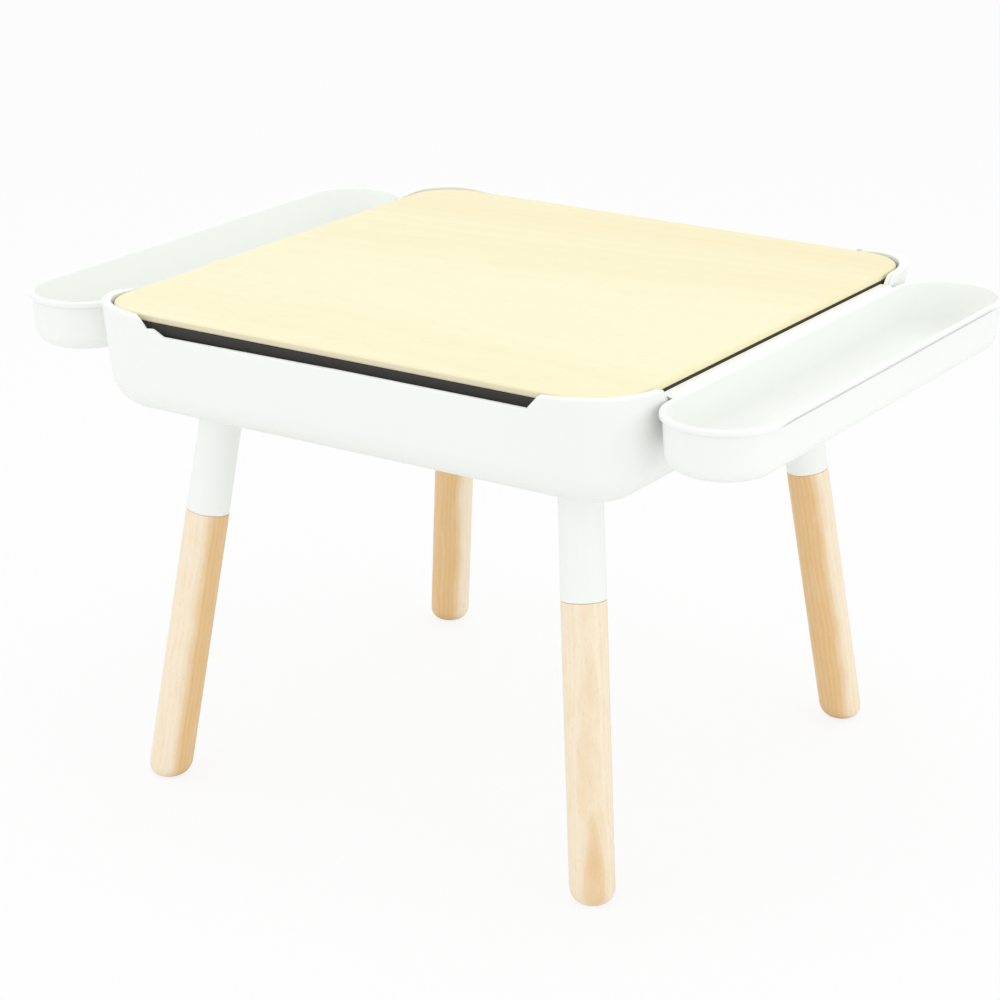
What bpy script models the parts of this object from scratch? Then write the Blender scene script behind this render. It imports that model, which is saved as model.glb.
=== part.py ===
"""Children's activity table with a lift-off board and two hanging side trays.

A white moulded tub stands on four splayed legs and holds a square reversible
board: pale wood on one face, chalkboard on the other. Each leg is a turned beech
dowel whose tenon fills a white sleeve, and a hanger bolt draws both up against a
tilted spigot under the tub. A narrow tray hooks over the notched rim at each side.

Metres, +Z up. The origin is on the floor under the centre of the tub, +X runs to
the right along the front edge and +Y runs to the back.
"""

import math

import bmesh
import bpy
from mathutils import Vector

# Clearances and overlaps shared by all fits
FIT_GAP = 0.0003
SLIDE_GAP = 0.0003
JOIN_OVERLAP = 0.002
CUT_OVERRUN = 0.010

# Lift-off board
BOARD_SIZE = 0.500
BOARD_CORNER = 0.042
BOARD_WOOD_THICKNESS = 0.0055
BOARD_CHALK_THICKNESS = 0.0097
BOARD_GAP = 0.004
BOARD_SINK = 0.0022

# Tub
TUB_UNDERSIDE = 0.339
TUB_DEPTH = 0.0917
RIM_WALL = 0.006
RIM_EDGE = 0.0015
TUB_WALL = 0.004
TUB_FLOOR = 0.004
TUB_FILLET = 0.034
TUB_DRAFT_DEGREES = 5.2

# Notches in the rim, one in the middle of each side: steep ends up to a rounded
# shoulder, and from there the rim's crest rises gently to the corner of the tub.
# A setback is measured along the side that carries the piece, in from its end.
NOTCH_DEPTH = 0.0147
NOTCH_SETBACK = 0.080
NOTCH_SHOULDER_RUN = 0.010
NOTCH_SHOULDER_HEIGHT = 0.011
NOTCH_SHOULDER_ROUND = 0.005
NOTCH_CREST_RUN = 0.045

# Corner shelves inside the tub that carry the board
SHELF_REACH = 0.035
SHELF_THICKNESS = 0.004

# Legs, each leaning outwards along a diagonal of the tub. The setback is that of the
# leg's axis at the tub's underside, and the splay is how much further out its foot is.
LEG_SETBACK = 0.0842
LEG_SPLAY = 0.04145
LEG_DIAMETER = 0.037
FOOT_ROUND_WIDTH = 0.0095
FOOT_ROUND_HEIGHT = 0.0125
SLEEVE_LENGTH = 0.0985
SLEEVE_DIAMETER = 0.0368
SLEEVE_TOP_DIAMETER = 0.0355
SLEEVE_BORE = 0.0288
SPIGOT_LENGTH = 0.024

# Leg fastenings
BOLT_DIAMETER = 0.008
BOLT_LENGTH = 0.046
BOLT_IN_WOOD = 0.029
BOLT_POINT = 0.0015
INSERT_DIAMETER = 0.012
INSERT_LENGTH = 0.018
INSERT_DEPTH_ROOM = 0.001
TENON_END_GAP = 0.0006

# Glides under the feet
GLIDE_DIAMETER = 0.016
GLIDE_THICKNESS = 0.002
GLIDE_EDGE = 0.0005
GLIDE_PIN_DIAMETER = 0.003
GLIDE_PIN_LENGTH = 0.013

# Side trays
TRAY_WIDTH = 0.097
TRAY_SETBACK = 0.021
TRAY_DEPTH = 0.0445
TRAY_WALL = 0.0025
TRAY_FLOOR = 0.003
TRAY_FILLET = 0.014
TRAY_DRAFT_DEGREES = 3.5
TRAY_STANDOFF = 0.001
LIP_OVERHANG = 0.0025
LIP_HEIGHT = 0.0045
LIP_EDGE = 0.0012

# Hook of a tray: a flange over the notch and a lip inside the tub wall
FLANGE_THICKNESS = 0.0027
FLANGE_END_PLAY = 0.003
HOOK_SETBACK = 0.030
HOOK_THICKNESS = 0.0026
HOOK_DROP = 0.012
HOOK_PLAY = 0.0005

# Two standoff ribs on each tray, facing the tub
RIB_SETBACK = 0.060
RIB_THICKNESS = 0.004
RIB_HEIGHT = 0.022
RIB_BELOW_LIP = 0.0025
RIB_PLAY = 0.0005
RIB_ROOT = 0.0008

# Facets
SHARP_DEGREES = 35
NOTCH_SHOULDER_STEPS = 3
TUB_CORNER_STEPS = 8
TUB_FILLET_STEPS = 6
TRAY_END_STEPS = 12
TRAY_FILLET_STEPS = 4
FOOT_ROUND_STEPS = 4
LEG_SIDES = 28
BOLT_SIDES = 14

# Heights worked out from the sizes above
RIM_TOP = TUB_UNDERSIDE + TUB_DEPTH
NOTCH_FLOOR = RIM_TOP - NOTCH_DEPTH
BOARD_TOP = RIM_TOP - BOARD_SINK
WOOD_UNDERSIDE = BOARD_TOP - BOARD_WOOD_THICKNESS
CHALK_TOP = WOOD_UNDERSIDE - FIT_GAP
BOARD_UNDERSIDE = CHALK_TOP - BOARD_CHALK_THICKNESS
SHELF_TOP = BOARD_UNDERSIDE - FIT_GAP
FLANGE_UNDERSIDE = NOTCH_FLOOR + FIT_GAP
TRAY_TOP = FLANGE_UNDERSIDE + FLANGE_THICKNESS
TRAY_UNDERSIDE = TRAY_TOP - TRAY_DEPTH

# Widths worked out from the sizes above
TUB_HALF = BOARD_SIZE / 2 + BOARD_GAP + RIM_WALL
TUB_CORNER = BOARD_CORNER + BOARD_GAP + RIM_WALL
WELL_HALF = TUB_HALF - RIM_WALL
WELL_CORNER = TUB_CORNER - RIM_WALL
TUB_SLOPE = math.tan(math.radians(TUB_DRAFT_DEGREES))
TRAY_SLOPE = math.tan(math.radians(TRAY_DRAFT_DEGREES))
NOTCH_FLOOR_HALF = TUB_HALF - NOTCH_SETBACK
NOTCH_SHOULDER_HALF = NOTCH_FLOOR_HALF + NOTCH_SHOULDER_RUN
NOTCH_SLOPE = NOTCH_SHOULDER_RUN / NOTCH_SHOULDER_HEIGHT
TRAY_HALF_WIDTH = TRAY_WIDTH / 2
TRAY_INNER_EDGE = TUB_HALF + TRAY_STANDOFF
TRAY_CENTRE = TRAY_INNER_EDGE + TRAY_HALF_WIDTH
TRAY_HALF_LENGTH = TUB_HALF - TRAY_SETBACK
HOOK_HALF_LENGTH = NOTCH_FLOOR_HALF - HOOK_SETBACK
RIB_MIDDLE = NOTCH_FLOOR_HALF - RIB_SETBACK

# Leg axis, in the upright plane through one diagonal of the tub
ROOT_RADIUS = (TUB_HALF - LEG_SETBACK) * math.sqrt(2)
FOOT_RADIUS = ROOT_RADIUS + LEG_SPLAY * math.sqrt(2)
ROOT_POINT = Vector((ROOT_RADIUS, 0, TUB_UNDERSIDE))
FOOT_POINT = Vector((FOOT_RADIUS, 0, 0))
AXIS = (ROOT_POINT - FOOT_POINT).normalized()
AXIS_OUTWARD = Vector((AXIS.z, 0, -AXIS.x))
ROOT_ALONG = (ROOT_POINT - FOOT_POINT).length
SHOULDER_ALONG = ROOT_ALONG - SLEEVE_LENGTH
SPIGOT_END_ALONG = ROOT_ALONG - SPIGOT_LENGTH
TENON_END_ALONG = SPIGOT_END_ALONG - TENON_END_GAP
BOLT_START_ALONG = TENON_END_ALONG - BOLT_IN_WOOD
PLUG_DIAMETER = SLEEVE_BORE - 2 * SLIDE_GAP
BOLT_BORE = BOLT_DIAMETER + 2 * SLIDE_GAP
INSERT_BORE = INSERT_DIAMETER + 2 * FIT_GAP

LEG_ANGLES = {
    "back_right": math.radians(45),
    "back_left": math.radians(135),
    "front_left": math.radians(225),
    "front_right": math.radians(315),
}


def clear_scene():
    """Remove every object, so that the model is the only thing in the file."""
    for obj in list(bpy.data.objects):
        bpy.data.objects.remove(obj, do_unlink=True)


def new_material(name, colour, roughness, metallic=0.0):
    """Return a Principled material with one colour."""
    material = bpy.data.materials.new(name)
    material.use_nodes = True
    shader = material.node_tree.nodes["Principled BSDF"]
    shader.inputs["Base Color"].default_value = (*colour, 1.0)
    shader.inputs["Roughness"].default_value = roughness
    shader.inputs["Metallic"].default_value = metallic
    material.diffuse_color = (*colour, 1.0)
    return material


def new_empty(name, location=(0, 0, 0), turn=0.0):
    """Return an empty that pieces can be parented to."""
    empty = bpy.data.objects.new(name, None)
    empty.location = location
    empty.rotation_euler = (0, 0, turn)
    bpy.context.collection.objects.link(empty)
    return empty


def new_object(name, mesh, material, parent=None):
    """Put a mesh in the scene, in its parent's axes where it has one."""
    obj = bpy.data.objects.new(name, mesh)
    mesh.materials.clear()
    mesh.materials.append(material)
    bpy.context.collection.objects.link(obj)
    obj.parent = parent
    return obj


def shade_round(mesh):
    """Shade smooth, and keep the sharper edges crisp."""
    mesh.shade_smooth()
    mesh.set_sharp_from_angle(angle=math.radians(SHARP_DEGREES))


def lofted_mesh(name, rings, closed=False):
    """Skin a list of rings, each a list of points, or one point for a pole.

    The first and last rings are capped, unless the rings close on themselves.
    """
    bm = bmesh.new()
    loops = [[bm.verts.new(point) for point in ring] for ring in rings]
    pairs = list(zip(loops, loops[1:]))
    if closed:
        pairs.append((loops[-1], loops[0]))
    for low, high in pairs:
        count = max(len(low), len(high))
        for index in range(count):
            after = (index + 1) % count
            corners = [low[index % len(low)], low[after % len(low)]]
            corners += [high[after % len(high)], high[index % len(high)]]
            bm.faces.new(list(dict.fromkeys(corners)))
    if not closed:
        for cap in (loops[0], loops[-1]):
            if len(cap) > 2:
                bm.faces.new(cap)
    bmesh.ops.recalc_face_normals(bm, faces=bm.faces)
    mesh = bpy.data.meshes.new(name)
    bm.to_mesh(mesh)
    bm.free()
    return mesh


def joined_mesh(name, meshes):
    """Gather separate closed meshes in one mesh, to cut or join with at once."""
    bm = bmesh.new()
    for mesh in meshes:
        bm.from_mesh(mesh)
        bpy.data.meshes.remove(mesh)
    joined = bpy.data.meshes.new(name)
    bm.to_mesh(joined)
    bm.free()
    return joined


def cut_or_join(target, name, mesh, operation):
    """Add a Boolean modifier to the target, with a hidden operand."""
    operand = bpy.data.objects.new(name, mesh)
    operand.hide_render = True
    operand.display_type = "WIRE"
    bpy.context.collection.objects.link(operand)
    operand.parent = target.parent
    modifier = target.modifiers.new(name, "BOOLEAN")
    modifier.operation = operation
    modifier.solver = "EXACT"
    modifier.object = operand


def rounded_ring(half_x, half_y, radius, z, steps, inset=0.0, centre_x=0.0):
    """Return a level rounded rectangle, counter-clockwise, moved in by an inset."""
    arc = radius - inset
    points = []
    for side_x, side_y, start in ((1, 1, 0), (-1, 1, 90), (-1, -1, 180), (1, -1, 270)):
        corner_x = centre_x + side_x * (half_x - radius)
        corner_y = side_y * (half_y - radius)
        for step in range(steps + 1):
            angle = math.radians(start + 90 * step / steps)
            x = corner_x + arc * math.cos(angle)
            y = corner_y + arc * math.sin(angle)
            points.append((x, y, z))
    return distinct(points)


def distinct(points):
    """Drop each point that repeats the one before, as where two arcs meet end to end."""
    kept = []
    for index, point in enumerate(points):
        if (Vector(point) - Vector(points[index - 1])).length > FIT_GAP:
            kept.append(point)
    return kept


def fillet_stations(height, inset, radius, steps):
    """Return (height, inset) along a quarter round, from its floor end up to its wall.

    The height is the floor's and the inset is the wall's.
    """
    stations = []
    for step in range(steps + 1):
        angle = math.radians(90 * step / steps)
        z = height + radius * (1 - math.cos(angle))
        stations.append((z, inset + radius * (1 - math.sin(angle))))
    return stations


def box_mesh(name, low, high):
    """Return a plain box between two corners, as a loft of its two ends."""
    ends = []
    for z in (low[2], high[2]):
        front = [(low[0], low[1], z), (high[0], low[1], z)]
        back = [(high[0], high[1], z), (low[0], high[1], z)]
        ends.append(front + back)
    return lofted_mesh(name, ends)


def axis_ring(along, radius, sides, level=0.0):
    """Return a ring about the leg axis, at a distance up it from the floor.

    A level of 0 keeps the ring square to the axis. At 1 its points slide along the
    axis until they are all at one height, which makes the cut of a level plane.
    """
    centre = FOOT_POINT + AXIS * along
    if radius == 0:
        return [centre]
    points = []
    for side in range(sides):
        angle = 2 * math.pi * side / sides
        spoke = AXIS_OUTWARD * math.cos(angle) + Vector((0, 1, 0)) * math.sin(angle)
        slide = -level * spoke.z / AXIS.z
        points.append(centre + (spoke + AXIS * slide) * radius)
    return points


def turned_mesh(name, stations, sides, closed=False):
    """Return a turned piece on the leg axis from (along, radius, level) stations."""
    rings = [axis_ring(along, radius, sides, level) for along, radius, level in stations]
    mesh = lofted_mesh(name, rings, closed)
    shade_round(mesh)
    return mesh


def tub_ring(z, inset):
    """Return one ring of the tub."""
    return rounded_ring(TUB_HALF, TUB_HALF, TUB_CORNER, z, TUB_CORNER_STEPS, inset)


def tub_outer_inset(z):
    """Return how far the drafted outer wall has moved in at a height."""
    return (RIM_TOP - RIM_EDGE - z) * TUB_SLOPE


def well_half(z):
    """Return half the width of the well inside the tub at a height."""
    return min(WELL_HALF, TUB_HALF - tub_outer_inset(z) - TUB_WALL)


def tub_shell():
    """Return the tub as one skin: up the outside, over the rim and down inside."""
    wall_foot = TUB_UNDERSIDE + TUB_FILLET
    stations = fillet_stations(TUB_UNDERSIDE, tub_outer_inset(wall_foot), TUB_FILLET, TUB_FILLET_STEPS)
    stations.append((RIM_TOP - RIM_EDGE, 0))
    stations.append((RIM_TOP, RIM_EDGE))
    stations.append((RIM_TOP, RIM_WALL - RIM_EDGE))
    stations.append((RIM_TOP - RIM_EDGE, RIM_WALL))
    stations.append((RIM_TOP - RIM_EDGE - (RIM_WALL - TUB_WALL) / TUB_SLOPE, RIM_WALL))
    inner_foot = tub_outer_inset(wall_foot) + TUB_WALL
    inner_fillet = TUB_FILLET - TUB_WALL
    inside = fillet_stations(TUB_UNDERSIDE + TUB_FLOOR, inner_foot, inner_fillet, TUB_FILLET_STEPS)
    stations += reversed(inside)
    return lofted_mesh("tub", [tub_ring(z, inset) for z, inset in stations])


def notch_end():
    """Return one end of a notch as (distance from its middle, height) points.

    They climb from the floor to the shoulder, round it, and follow the crest's gentle
    slope until they are clear of the tub. The round is a curve between a point on each
    slope, both at the same distance from the shoulder, drawn towards the shoulder.
    """
    floor = Vector((NOTCH_FLOOR_HALF, NOTCH_FLOOR))
    shoulder = Vector((NOTCH_SHOULDER_HALF, NOTCH_FLOOR + NOTCH_SHOULDER_HEIGHT))
    crest = Vector((NOTCH_SHOULDER_HALF + NOTCH_CREST_RUN, RIM_TOP))
    below = shoulder + (floor - shoulder).normalized() * NOTCH_SHOULDER_ROUND
    above = shoulder + (crest - shoulder).normalized() * NOTCH_SHOULDER_ROUND
    points = [floor]
    for step in range(NOTCH_SHOULDER_STEPS + 1):
        share = step / NOTCH_SHOULDER_STEPS
        points.append(below.lerp(shoulder, share).lerp(shoulder.lerp(above, share), share))
    clear = max(TUB_HALF, crest.x) + CUT_OVERRUN
    points.append(shoulder.lerp(crest, (clear - shoulder.x) / NOTCH_CREST_RUN))
    points.append(points[-1] + Vector((0, CUT_OVERRUN)))
    return points


def notch_cutter(name, across):
    """Return a bar through two facing walls, with the outline of their notches."""
    reach = TUB_HALF + CUT_OVERRUN
    end_points = notch_end()
    section = [(side, z) for side, z in end_points]
    section += [(-side, z) for side, z in reversed(end_points)]
    rings = []
    for end in (-reach, reach):
        if across:
            rings.append([(end, side, z) for side, z in section])
        else:
            rings.append([(side, end, z) for side, z in section])
    return lofted_mesh(name, rings)


def shelf_mesh(name, side_x, side_y):
    """Return a corner shelf: the corner of the well, cut off by a diagonal."""
    half = WELL_HALF + JOIN_OVERLAP
    radius = WELL_CORNER + JOIN_OVERLAP
    corner_reach = (WELL_HALF - WELL_CORNER) * math.sqrt(2) + WELL_CORNER
    diagonal = (corner_reach - SHELF_REACH) * math.sqrt(2)
    outline = [(half, diagonal - half)]
    for step in range(TUB_CORNER_STEPS + 1):
        angle = math.radians(90 * step / TUB_CORNER_STEPS)
        x = half - radius + radius * math.cos(angle)
        y = half - radius + radius * math.sin(angle)
        outline.append((x, y))
    outline.append((diagonal - half, half))
    rings = []
    for z in (SHELF_TOP - SHELF_THICKNESS, SHELF_TOP):
        rings.append([(side_x * x, side_y * y, z) for x, y in outline])
    return lofted_mesh(name, rings)


def spigot_mesh(name):
    """Return the tilted spigot under the tub, with the blind hole for its insert."""
    hole_top = SPIGOT_END_ALONG + INSERT_LENGTH + INSERT_DEPTH_ROOM
    join_along = (TUB_UNDERSIDE + TUB_FLOOR / 2) / AXIS.z
    stations = [
        (hole_top, 0, 0),
        (hole_top, INSERT_BORE / 2, 0),
        (SPIGOT_END_ALONG, INSERT_BORE / 2, 0),
        (SPIGOT_END_ALONG, PLUG_DIAMETER / 2, 0),
        (join_along, PLUG_DIAMETER / 2, 1),
        (join_along, 0, 1),
    ]
    return turned_mesh(name, stations, LEG_SIDES)


def build_tub(material):
    """Make the tub with its notches, corner shelves and leg spigots."""
    mesh = tub_shell()
    shade_round(mesh)
    tub = new_object("tub", mesh, material)
    cut_or_join(tub, "front_back_notch_cutter", notch_cutter("front_back_notch", False), "DIFFERENCE")
    cut_or_join(tub, "side_notch_cutter", notch_cutter("side_notch", True), "DIFFERENCE")
    shelves = []
    for side_x, side_y in ((1, 1), (-1, 1), (-1, -1), (1, -1)):
        shelves.append(shelf_mesh("shelf", side_x, side_y))
    cut_or_join(tub, "corner_shelf_guide", joined_mesh("corner_shelves", shelves), "UNION")
    spigots = []
    for angle in LEG_ANGLES.values():
        spigot = spigot_mesh("spigot")
        for vertex in spigot.vertices:
            turned = vertex.co.copy()
            turned.x = vertex.co.x * math.cos(angle) - vertex.co.y * math.sin(angle)
            turned.y = vertex.co.x * math.sin(angle) + vertex.co.y * math.cos(angle)
            vertex.co = turned
        spigots.append(spigot)
    cut_or_join(tub, "spigot_guide", joined_mesh("spigots", spigots), "UNION")
    return tub


def panel_mesh(name, low, high, lift_point):
    """Return one layer of the board, given from its lift point."""
    half = BOARD_SIZE / 2
    rings = []
    for z in (low, high):
        rings.append(rounded_ring(half, half, BOARD_CORNER, z - lift_point, TUB_CORNER_STEPS))
    mesh = lofted_mesh(name, rings)
    shade_round(mesh)
    return mesh


def build_board(wood, chalk):
    """Make the reversible board from its wood face and its chalkboard face."""
    lift_point = new_empty("board_lift_point", (0, 0, BOARD_UNDERSIDE))
    wood_mesh = panel_mesh("board_wood_face", WOOD_UNDERSIDE, BOARD_TOP, BOARD_UNDERSIDE)
    new_object("board_wood_face", wood_mesh, wood, lift_point)
    chalk_mesh = panel_mesh("board_chalk_face", BOARD_UNDERSIDE, CHALK_TOP, BOARD_UNDERSIDE)
    new_object("board_chalk_face", chalk_mesh, chalk, lift_point)


def leg_mesh():
    """Return the beech leg: rounded foot, shoulder, tenon and bolt hole."""
    foot_height = GLIDE_THICKNESS + FIT_GAP
    pin_bore = GLIDE_PIN_DIAMETER / 2 + SLIDE_GAP
    pin_top = foot_height / AXIS.z + GLIDE_PIN_LENGTH
    stations = [(pin_top, 0, 0), (pin_top, pin_bore, 0), (foot_height / AXIS.z, pin_bore, 1)]
    for step in range(FOOT_ROUND_STEPS + 1):
        angle = math.radians(90 * step / FOOT_ROUND_STEPS)
        z = foot_height + FOOT_ROUND_HEIGHT * (1 - math.cos(angle))
        radius = LEG_DIAMETER / 2 - FOOT_ROUND_WIDTH * (1 - math.sin(angle))
        stations.append((z / AXIS.z, radius, 1))
    bolt_hole_end = BOLT_START_ALONG - FIT_GAP
    stations += [
        (SHOULDER_ALONG, LEG_DIAMETER / 2, 0),
        (SHOULDER_ALONG, PLUG_DIAMETER / 2, 0),
        (TENON_END_ALONG, PLUG_DIAMETER / 2, 0),
        (TENON_END_ALONG, BOLT_BORE / 2, 0),
        (bolt_hole_end, BOLT_BORE / 2, 0),
        (bolt_hole_end, 0, 0),
    ]
    return turned_mesh("leg", stations, LEG_SIDES)


def sleeve_mesh():
    """Return the sleeve, square to the axis below and cut level under the tub."""
    top_along = (TUB_UNDERSIDE - FIT_GAP) / AXIS.z
    foot_along = SHOULDER_ALONG + FIT_GAP
    stations = [
        (foot_along, SLEEVE_DIAMETER / 2, 0),
        (top_along, SLEEVE_TOP_DIAMETER / 2, 1),
        (top_along, SLEEVE_BORE / 2, 1),
        (foot_along, SLEEVE_BORE / 2, 0),
    ]
    return turned_mesh("sleeve", stations, LEG_SIDES, closed=True)


def glide_mesh():
    """Return the glide: a level disc with a pin that enters the foot."""
    pin = GLIDE_PIN_DIAMETER / 2
    disc = GLIDE_DIAMETER / 2
    pin_top = GLIDE_THICKNESS / AXIS.z + GLIDE_PIN_LENGTH - FIT_GAP
    stations = [
        (pin_top, 0, 0),
        (pin_top, pin, 0),
        (GLIDE_THICKNESS / AXIS.z, pin, 1),
        (GLIDE_THICKNESS / AXIS.z, disc, 1),
        (GLIDE_EDGE / AXIS.z, disc, 1),
        (0, disc - GLIDE_EDGE, 1),
        (0, 0, 1),
    ]
    return turned_mesh("glide", stations, LEG_SIDES)


def bolt_mesh():
    """Return the hanger bolt, half in the tenon and half in the insert."""
    radius = BOLT_DIAMETER / 2
    end = BOLT_START_ALONG + BOLT_LENGTH
    stations = [
        (BOLT_START_ALONG, 0, 0),
        (BOLT_START_ALONG, radius - BOLT_POINT, 0),
        (BOLT_START_ALONG + BOLT_POINT, radius, 0),
        (end - BOLT_POINT, radius, 0),
        (end, radius - BOLT_POINT, 0),
        (end, 0, 0),
    ]
    return turned_mesh("hanger_bolt", stations, BOLT_SIDES)


def insert_mesh():
    """Return the threaded insert, flush with the end of its spigot."""
    end = SPIGOT_END_ALONG + INSERT_LENGTH
    stations = [
        (SPIGOT_END_ALONG, INSERT_DIAMETER / 2, 0),
        (end, INSERT_DIAMETER / 2, 0),
        (end, BOLT_BORE / 2, 0),
        (SPIGOT_END_ALONG, BOLT_BORE / 2, 0),
    ]
    return turned_mesh("insert", stations, BOLT_SIDES, closed=True)


def build_legs(materials):
    """Make the four legs, each turned to its diagonal about the tub's centre."""
    pieces = {
        "leg": (leg_mesh(), materials["beech"]),
        "leg_sleeve": (sleeve_mesh(), materials["white_plastic"]),
        "foot_glide": (glide_mesh(), materials["dark_plastic"]),
        "hanger_bolt": (bolt_mesh(), materials["steel"]),
        "threaded_insert": (insert_mesh(), materials["brass"]),
    }
    for place, angle in LEG_ANGLES.items():
        station = new_empty(place + "_leg_station", turn=angle)
        for piece, (mesh, material) in pieces.items():
            new_object(piece + "_" + place, mesh, material, station)


def tray_ring(z, inset):
    """Return one ring of a tray, which has a full round at each end."""
    return rounded_ring(
        TRAY_HALF_WIDTH, TRAY_HALF_LENGTH, TRAY_HALF_WIDTH, z, TRAY_END_STEPS, inset, TRAY_CENTRE
    )


def tray_shell():
    """Return a tray as one skin: up the outside, round its lip and down inside."""
    lip_foot = TRAY_TOP - LIP_HEIGHT
    wall_foot = TRAY_UNDERSIDE + TRAY_FILLET
    foot_inset = LIP_OVERHANG + (lip_foot - wall_foot) * TRAY_SLOPE
    stations = fillet_stations(TRAY_UNDERSIDE, foot_inset, TRAY_FILLET, TRAY_FILLET_STEPS)
    stations.append((lip_foot, LIP_OVERHANG))
    stations.append((lip_foot, LIP_EDGE))
    stations.append((lip_foot + LIP_EDGE, 0))
    stations.append((TRAY_TOP - LIP_EDGE, 0))
    stations.append((TRAY_TOP, LIP_EDGE))
    stations.append((TRAY_TOP, LIP_OVERHANG + TRAY_WALL - LIP_EDGE))
    stations.append((TRAY_TOP - LIP_EDGE, LIP_OVERHANG + TRAY_WALL))
    inner_fillet = TRAY_FILLET - TRAY_WALL
    inner_floor = TRAY_UNDERSIDE + TRAY_FLOOR
    inside = fillet_stations(inner_floor, foot_inset + TRAY_WALL, inner_fillet, TRAY_FILLET_STEPS)
    stations += reversed(inside)
    return lofted_mesh("tray", [tray_ring(z, inset) for z, inset in stations])


def hook_outer_face():
    """Return the hook's face towards the wall, clear of it down to the hook's tip."""
    return well_half(FLANGE_UNDERSIDE - HOOK_DROP) - HOOK_PLAY


def flange_mesh():
    """Return the flange over the notch, with ends that follow the notch's slant."""
    low_x = hook_outer_face() - HOOK_THICKNESS
    high_x = TRAY_INNER_EDGE + LIP_OVERHANG
    rings = []
    for z in (FLANGE_UNDERSIDE, TRAY_TOP):
        half = NOTCH_FLOOR_HALF - FLANGE_END_PLAY + (z - NOTCH_FLOOR) * NOTCH_SLOPE
        rings.append([(low_x, -half, z), (high_x, -half, z), (high_x, half, z), (low_x, half, z)])
    return lofted_mesh("flange", rings)


def hook_mesh():
    """Return the lip that hangs inside the tub wall."""
    outer = hook_outer_face()
    low = (outer - HOOK_THICKNESS, -HOOK_HALF_LENGTH, FLANGE_UNDERSIDE - HOOK_DROP)
    high = (outer, HOOK_HALF_LENGTH, FLANGE_UNDERSIDE + FLANGE_THICKNESS / 2)
    return box_mesh("hook", low, high)


def rib_meshes():
    """Return the standoff ribs, which keep clear of the widest part of the wall."""
    tip = TUB_HALF - (NOTCH_DEPTH - RIM_EDGE) * TUB_SLOPE + RIB_PLAY
    top = TRAY_TOP - LIP_HEIGHT - RIB_BELOW_LIP
    root = TRAY_INNER_EDGE + LIP_OVERHANG + (RIB_BELOW_LIP + RIB_HEIGHT) * TRAY_SLOPE + RIB_ROOT
    ribs = []
    for side in (-1, 1):
        middle = side * RIB_MIDDLE
        low = (tip, middle - RIB_THICKNESS / 2, top - RIB_HEIGHT)
        high = (root, middle + RIB_THICKNESS / 2, top)
        ribs.append(box_mesh("rib", low, high))
    return ribs


def build_trays(material):
    """Make the two trays; the left one is the right one turned half round."""
    for name, turn in (("tray_right", 0.0), ("tray_left", math.pi)):
        lift_point = new_empty(name + "_lift_point", turn=turn)
        mesh = tray_shell()
        shade_round(mesh)
        tray = new_object(name, mesh, material, lift_point)
        cut_or_join(tray, name + "_flange_guide", flange_mesh(), "UNION")
        cut_or_join(tray, name + "_hook_guide", hook_mesh(), "UNION")
        cut_or_join(tray, name + "_rib_guide", joined_mesh("ribs", rib_meshes()), "UNION")


def build_table():
    """Make the whole table."""
    clear_scene()
    materials = {
        "white_plastic": new_material("white_plastic", (0.90, 0.90, 0.88), 0.35),
        "beech": new_material("beech", (0.78, 0.58, 0.36), 0.45),
        "pale_wood": new_material("pale_wood", (0.93, 0.84, 0.62), 0.45),
        "chalkboard": new_material("chalkboard", (0.045, 0.043, 0.040), 0.75),
        "dark_plastic": new_material("dark_plastic", (0.10, 0.07, 0.05), 0.60),
        "steel": new_material("steel", (0.60, 0.60, 0.60), 0.30, 1.0),
        "brass": new_material("brass", (0.72, 0.55, 0.25), 0.30, 1.0),
    }
    build_tub(materials["white_plastic"])
    build_board(materials["pale_wood"], materials["chalkboard"])
    build_legs(materials)
    build_trays(materials["white_plastic"])


build_table()
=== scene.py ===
"""Kids activity table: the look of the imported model, built from numpy surfaces.

A white moulded tub stands on four splayed beech legs. A loose board, pale wood above and
chalkboard below, lies in its rim, and a tray hooks over the rim at each side. Lengths are in
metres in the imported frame: X to the right along the front edge, Y to the back, Z up from the
floor under the middle of the tub.
"""

import logging
import math
from collections.abc import Callable
from dataclasses import dataclass, field
from enum import Enum

import bpy
import numpy as np
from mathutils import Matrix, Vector


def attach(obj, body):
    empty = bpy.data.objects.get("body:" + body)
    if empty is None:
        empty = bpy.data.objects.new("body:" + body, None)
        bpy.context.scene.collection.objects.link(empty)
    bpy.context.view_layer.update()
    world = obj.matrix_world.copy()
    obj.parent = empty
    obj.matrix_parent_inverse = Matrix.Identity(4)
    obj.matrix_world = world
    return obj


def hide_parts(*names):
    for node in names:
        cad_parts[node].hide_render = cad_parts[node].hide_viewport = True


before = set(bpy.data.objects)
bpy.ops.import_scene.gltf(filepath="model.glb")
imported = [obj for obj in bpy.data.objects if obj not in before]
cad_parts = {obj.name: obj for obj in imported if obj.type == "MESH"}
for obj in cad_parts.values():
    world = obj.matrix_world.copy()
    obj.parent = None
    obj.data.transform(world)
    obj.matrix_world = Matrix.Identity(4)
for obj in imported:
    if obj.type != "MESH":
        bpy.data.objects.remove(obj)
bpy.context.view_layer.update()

log = logging.getLogger("activity_table")

GRAIN_ATTRIBUTE = "grain_place"
MM = 0.001
WELD = 1e-7
CENTRE_RINGS = 6
PLATE_STEPS = 4
BLOCK_STEPS = 5
BEND_POINTS = 9


class Body(Enum):
    """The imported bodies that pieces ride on."""

    FRAME = "table_frame"
    BOARD = "board"
    RIGHT_TRAY = "right_tray"
    LEFT_TRAY = "left_tray"


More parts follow.
